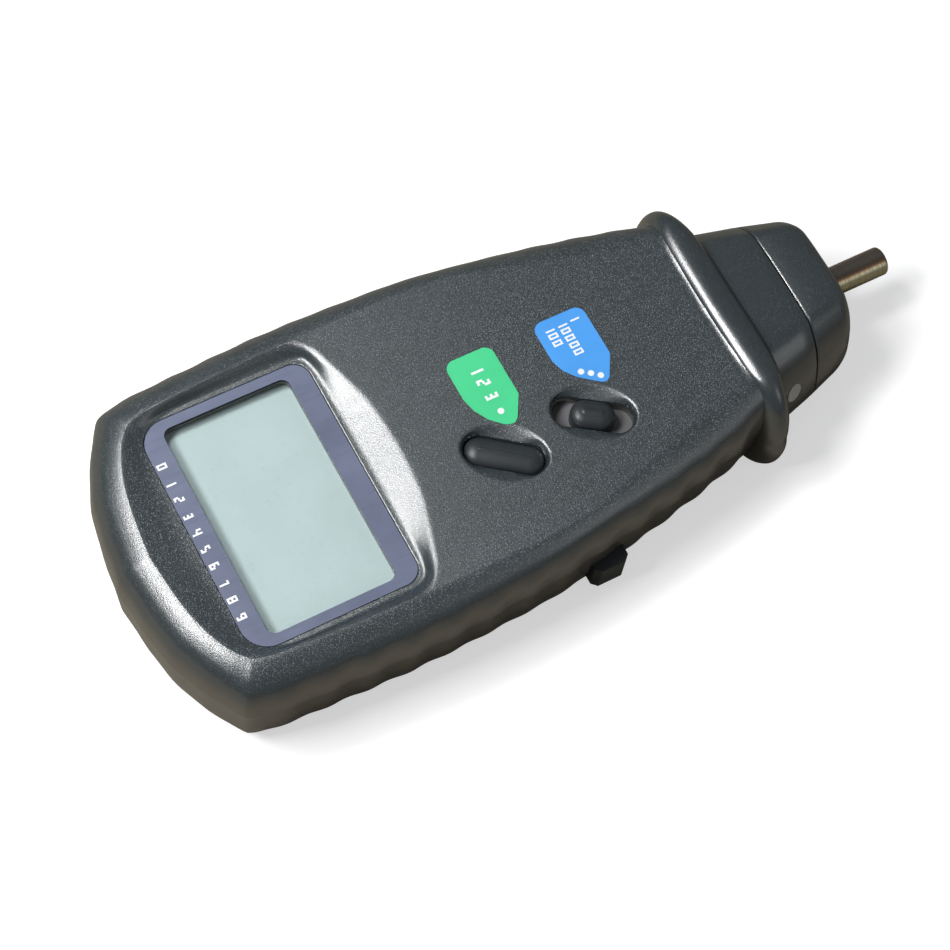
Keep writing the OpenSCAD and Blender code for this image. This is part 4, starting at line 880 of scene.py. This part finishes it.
# White where it is looked at, and a duller warm tone for what it throws back on the case
def floorMaterial():
    material, tree, shader = newMaterial("paleFloor")
    tree.nodes.remove(shader)
    path = addNode(tree, "ShaderNodeLightPath")
    seen = addNode(tree, "ShaderNodeMath", operation="MAXIMUM")
    tree.links.new(path.outputs["Is Camera Ray"], seen.inputs[0])
    tree.links.new(path.outputs["Is Transmission Ray"], seen.inputs[1])
    pale = addNode(tree, "ShaderNodeBsdfDiffuse")
    pale.inputs["Color"].default_value = (floorLook["seen"],) * 3 + (1,)
    glow = addNode(tree, "ShaderNodeEmission", Strength=floorLook["glow"])
    both = addNode(tree, "ShaderNodeAddShader")
    dull = addNode(tree, "ShaderNodeBsdfDiffuse")
    dull.inputs["Color"].default_value = floorLook["bounce"] + (1,)
    mix = addNode(tree, "ShaderNodeMixShader")
    tree.links.new(pale.outputs[0], both.inputs[0])
    tree.links.new(glow.outputs[0], both.inputs[1])
    tree.links.new(seen.outputs[0], mix.inputs[0])
    tree.links.new(dull.outputs[0], mix.inputs[1])
    tree.links.new(both.outputs[0], mix.inputs[2])
    side = addNode(tree, "ShaderNodeNewGeometry")
    clear = addNode(tree, "ShaderNodeBsdfTransparent")
    either = addNode(tree, "ShaderNodeMixShader")
    tree.links.new(side.outputs["Backfacing"], either.inputs[0])
    tree.links.new(mix.outputs[0], either.inputs[1])
    tree.links.new(clear.outputs[0], either.inputs[2])
    tree.links.new(either.outputs[0], tree.nodes["Material Output"].inputs["Surface"])
    return material


floorPiece.data.materials.append(floorMaterial())

studio = {"colour": (0.95, 0.98, 1, 1), "strength": 0.17}
world = bpy.data.worlds.new("studio")
bpy.context.scene.world = world
world.use_nodes = True
sky = world.node_tree.nodes["Background"]
sky.inputs["Color"].default_value = studio["colour"]
sky.inputs["Strength"].default_value = studio["strength"]

lights = {"low": {"from": (-0.14, -0.6, 0.78), "distance": 0.7, "size": 0.24, "long": 0.16,
                  "power": 3.5},
          "high": {"from": (-0.318, -0.338, 0.887), "distance": 0.485, "size": 0.1, "long": 0.1,
                   "power": 1.0},
          "fill": {"from": (0.7, 0.5, 0.5), "distance": 1.2, "size": 0.5, "long": 0.5,
                   "power": 0.5}}
for name, light in lights.items():
    data = bpy.data.lights.new(name, "AREA")
    data.shape, data.energy = "RECTANGLE", light["power"]
    data.size, data.size_y = light["size"], light["long"]
    lamp = bpy.data.objects.new(name, data)
    bpy.context.scene.collection.objects.link(lamp)
    away = Vector(light["from"]).normalized()
    lamp.location = away * light["distance"]
    lamp.rotation_mode = "QUATERNION"
    lamp.rotation_quaternion = away.to_track_quat("Z", "Y")

# The camera's place and axes, fitted to the photograph
eye = {"place": (0.188877, -0.155485, 0.49105), "lens": 96.437, "sensor": 36,
       "right": (0.47259902, 0.87763935, 0.07999592),
       "up": (-0.81180646, 0.39822164, 0.42707118),
       "behind": (0.34295836, -0.26677463, 0.90067245)}
camera = bpy.data.objects.new("camera", bpy.data.cameras.new("camera"))
bpy.context.scene.collection.objects.link(camera)
camera.data.lens, camera.data.sensor_width = eye["lens"], eye["sensor"]
camera.data.clip_start, camera.data.clip_end = 0.01, 20
turned = Matrix([Vector(eye[side]) for side in ("right", "up", "behind")]).transposed()
camera.matrix_world = Matrix.Translation(Vector(eye["place"])) @ turned.to_4x4()
bpy.context.scene.camera = camera
bpy.context.scene.view_settings.view_transform = "Standard"
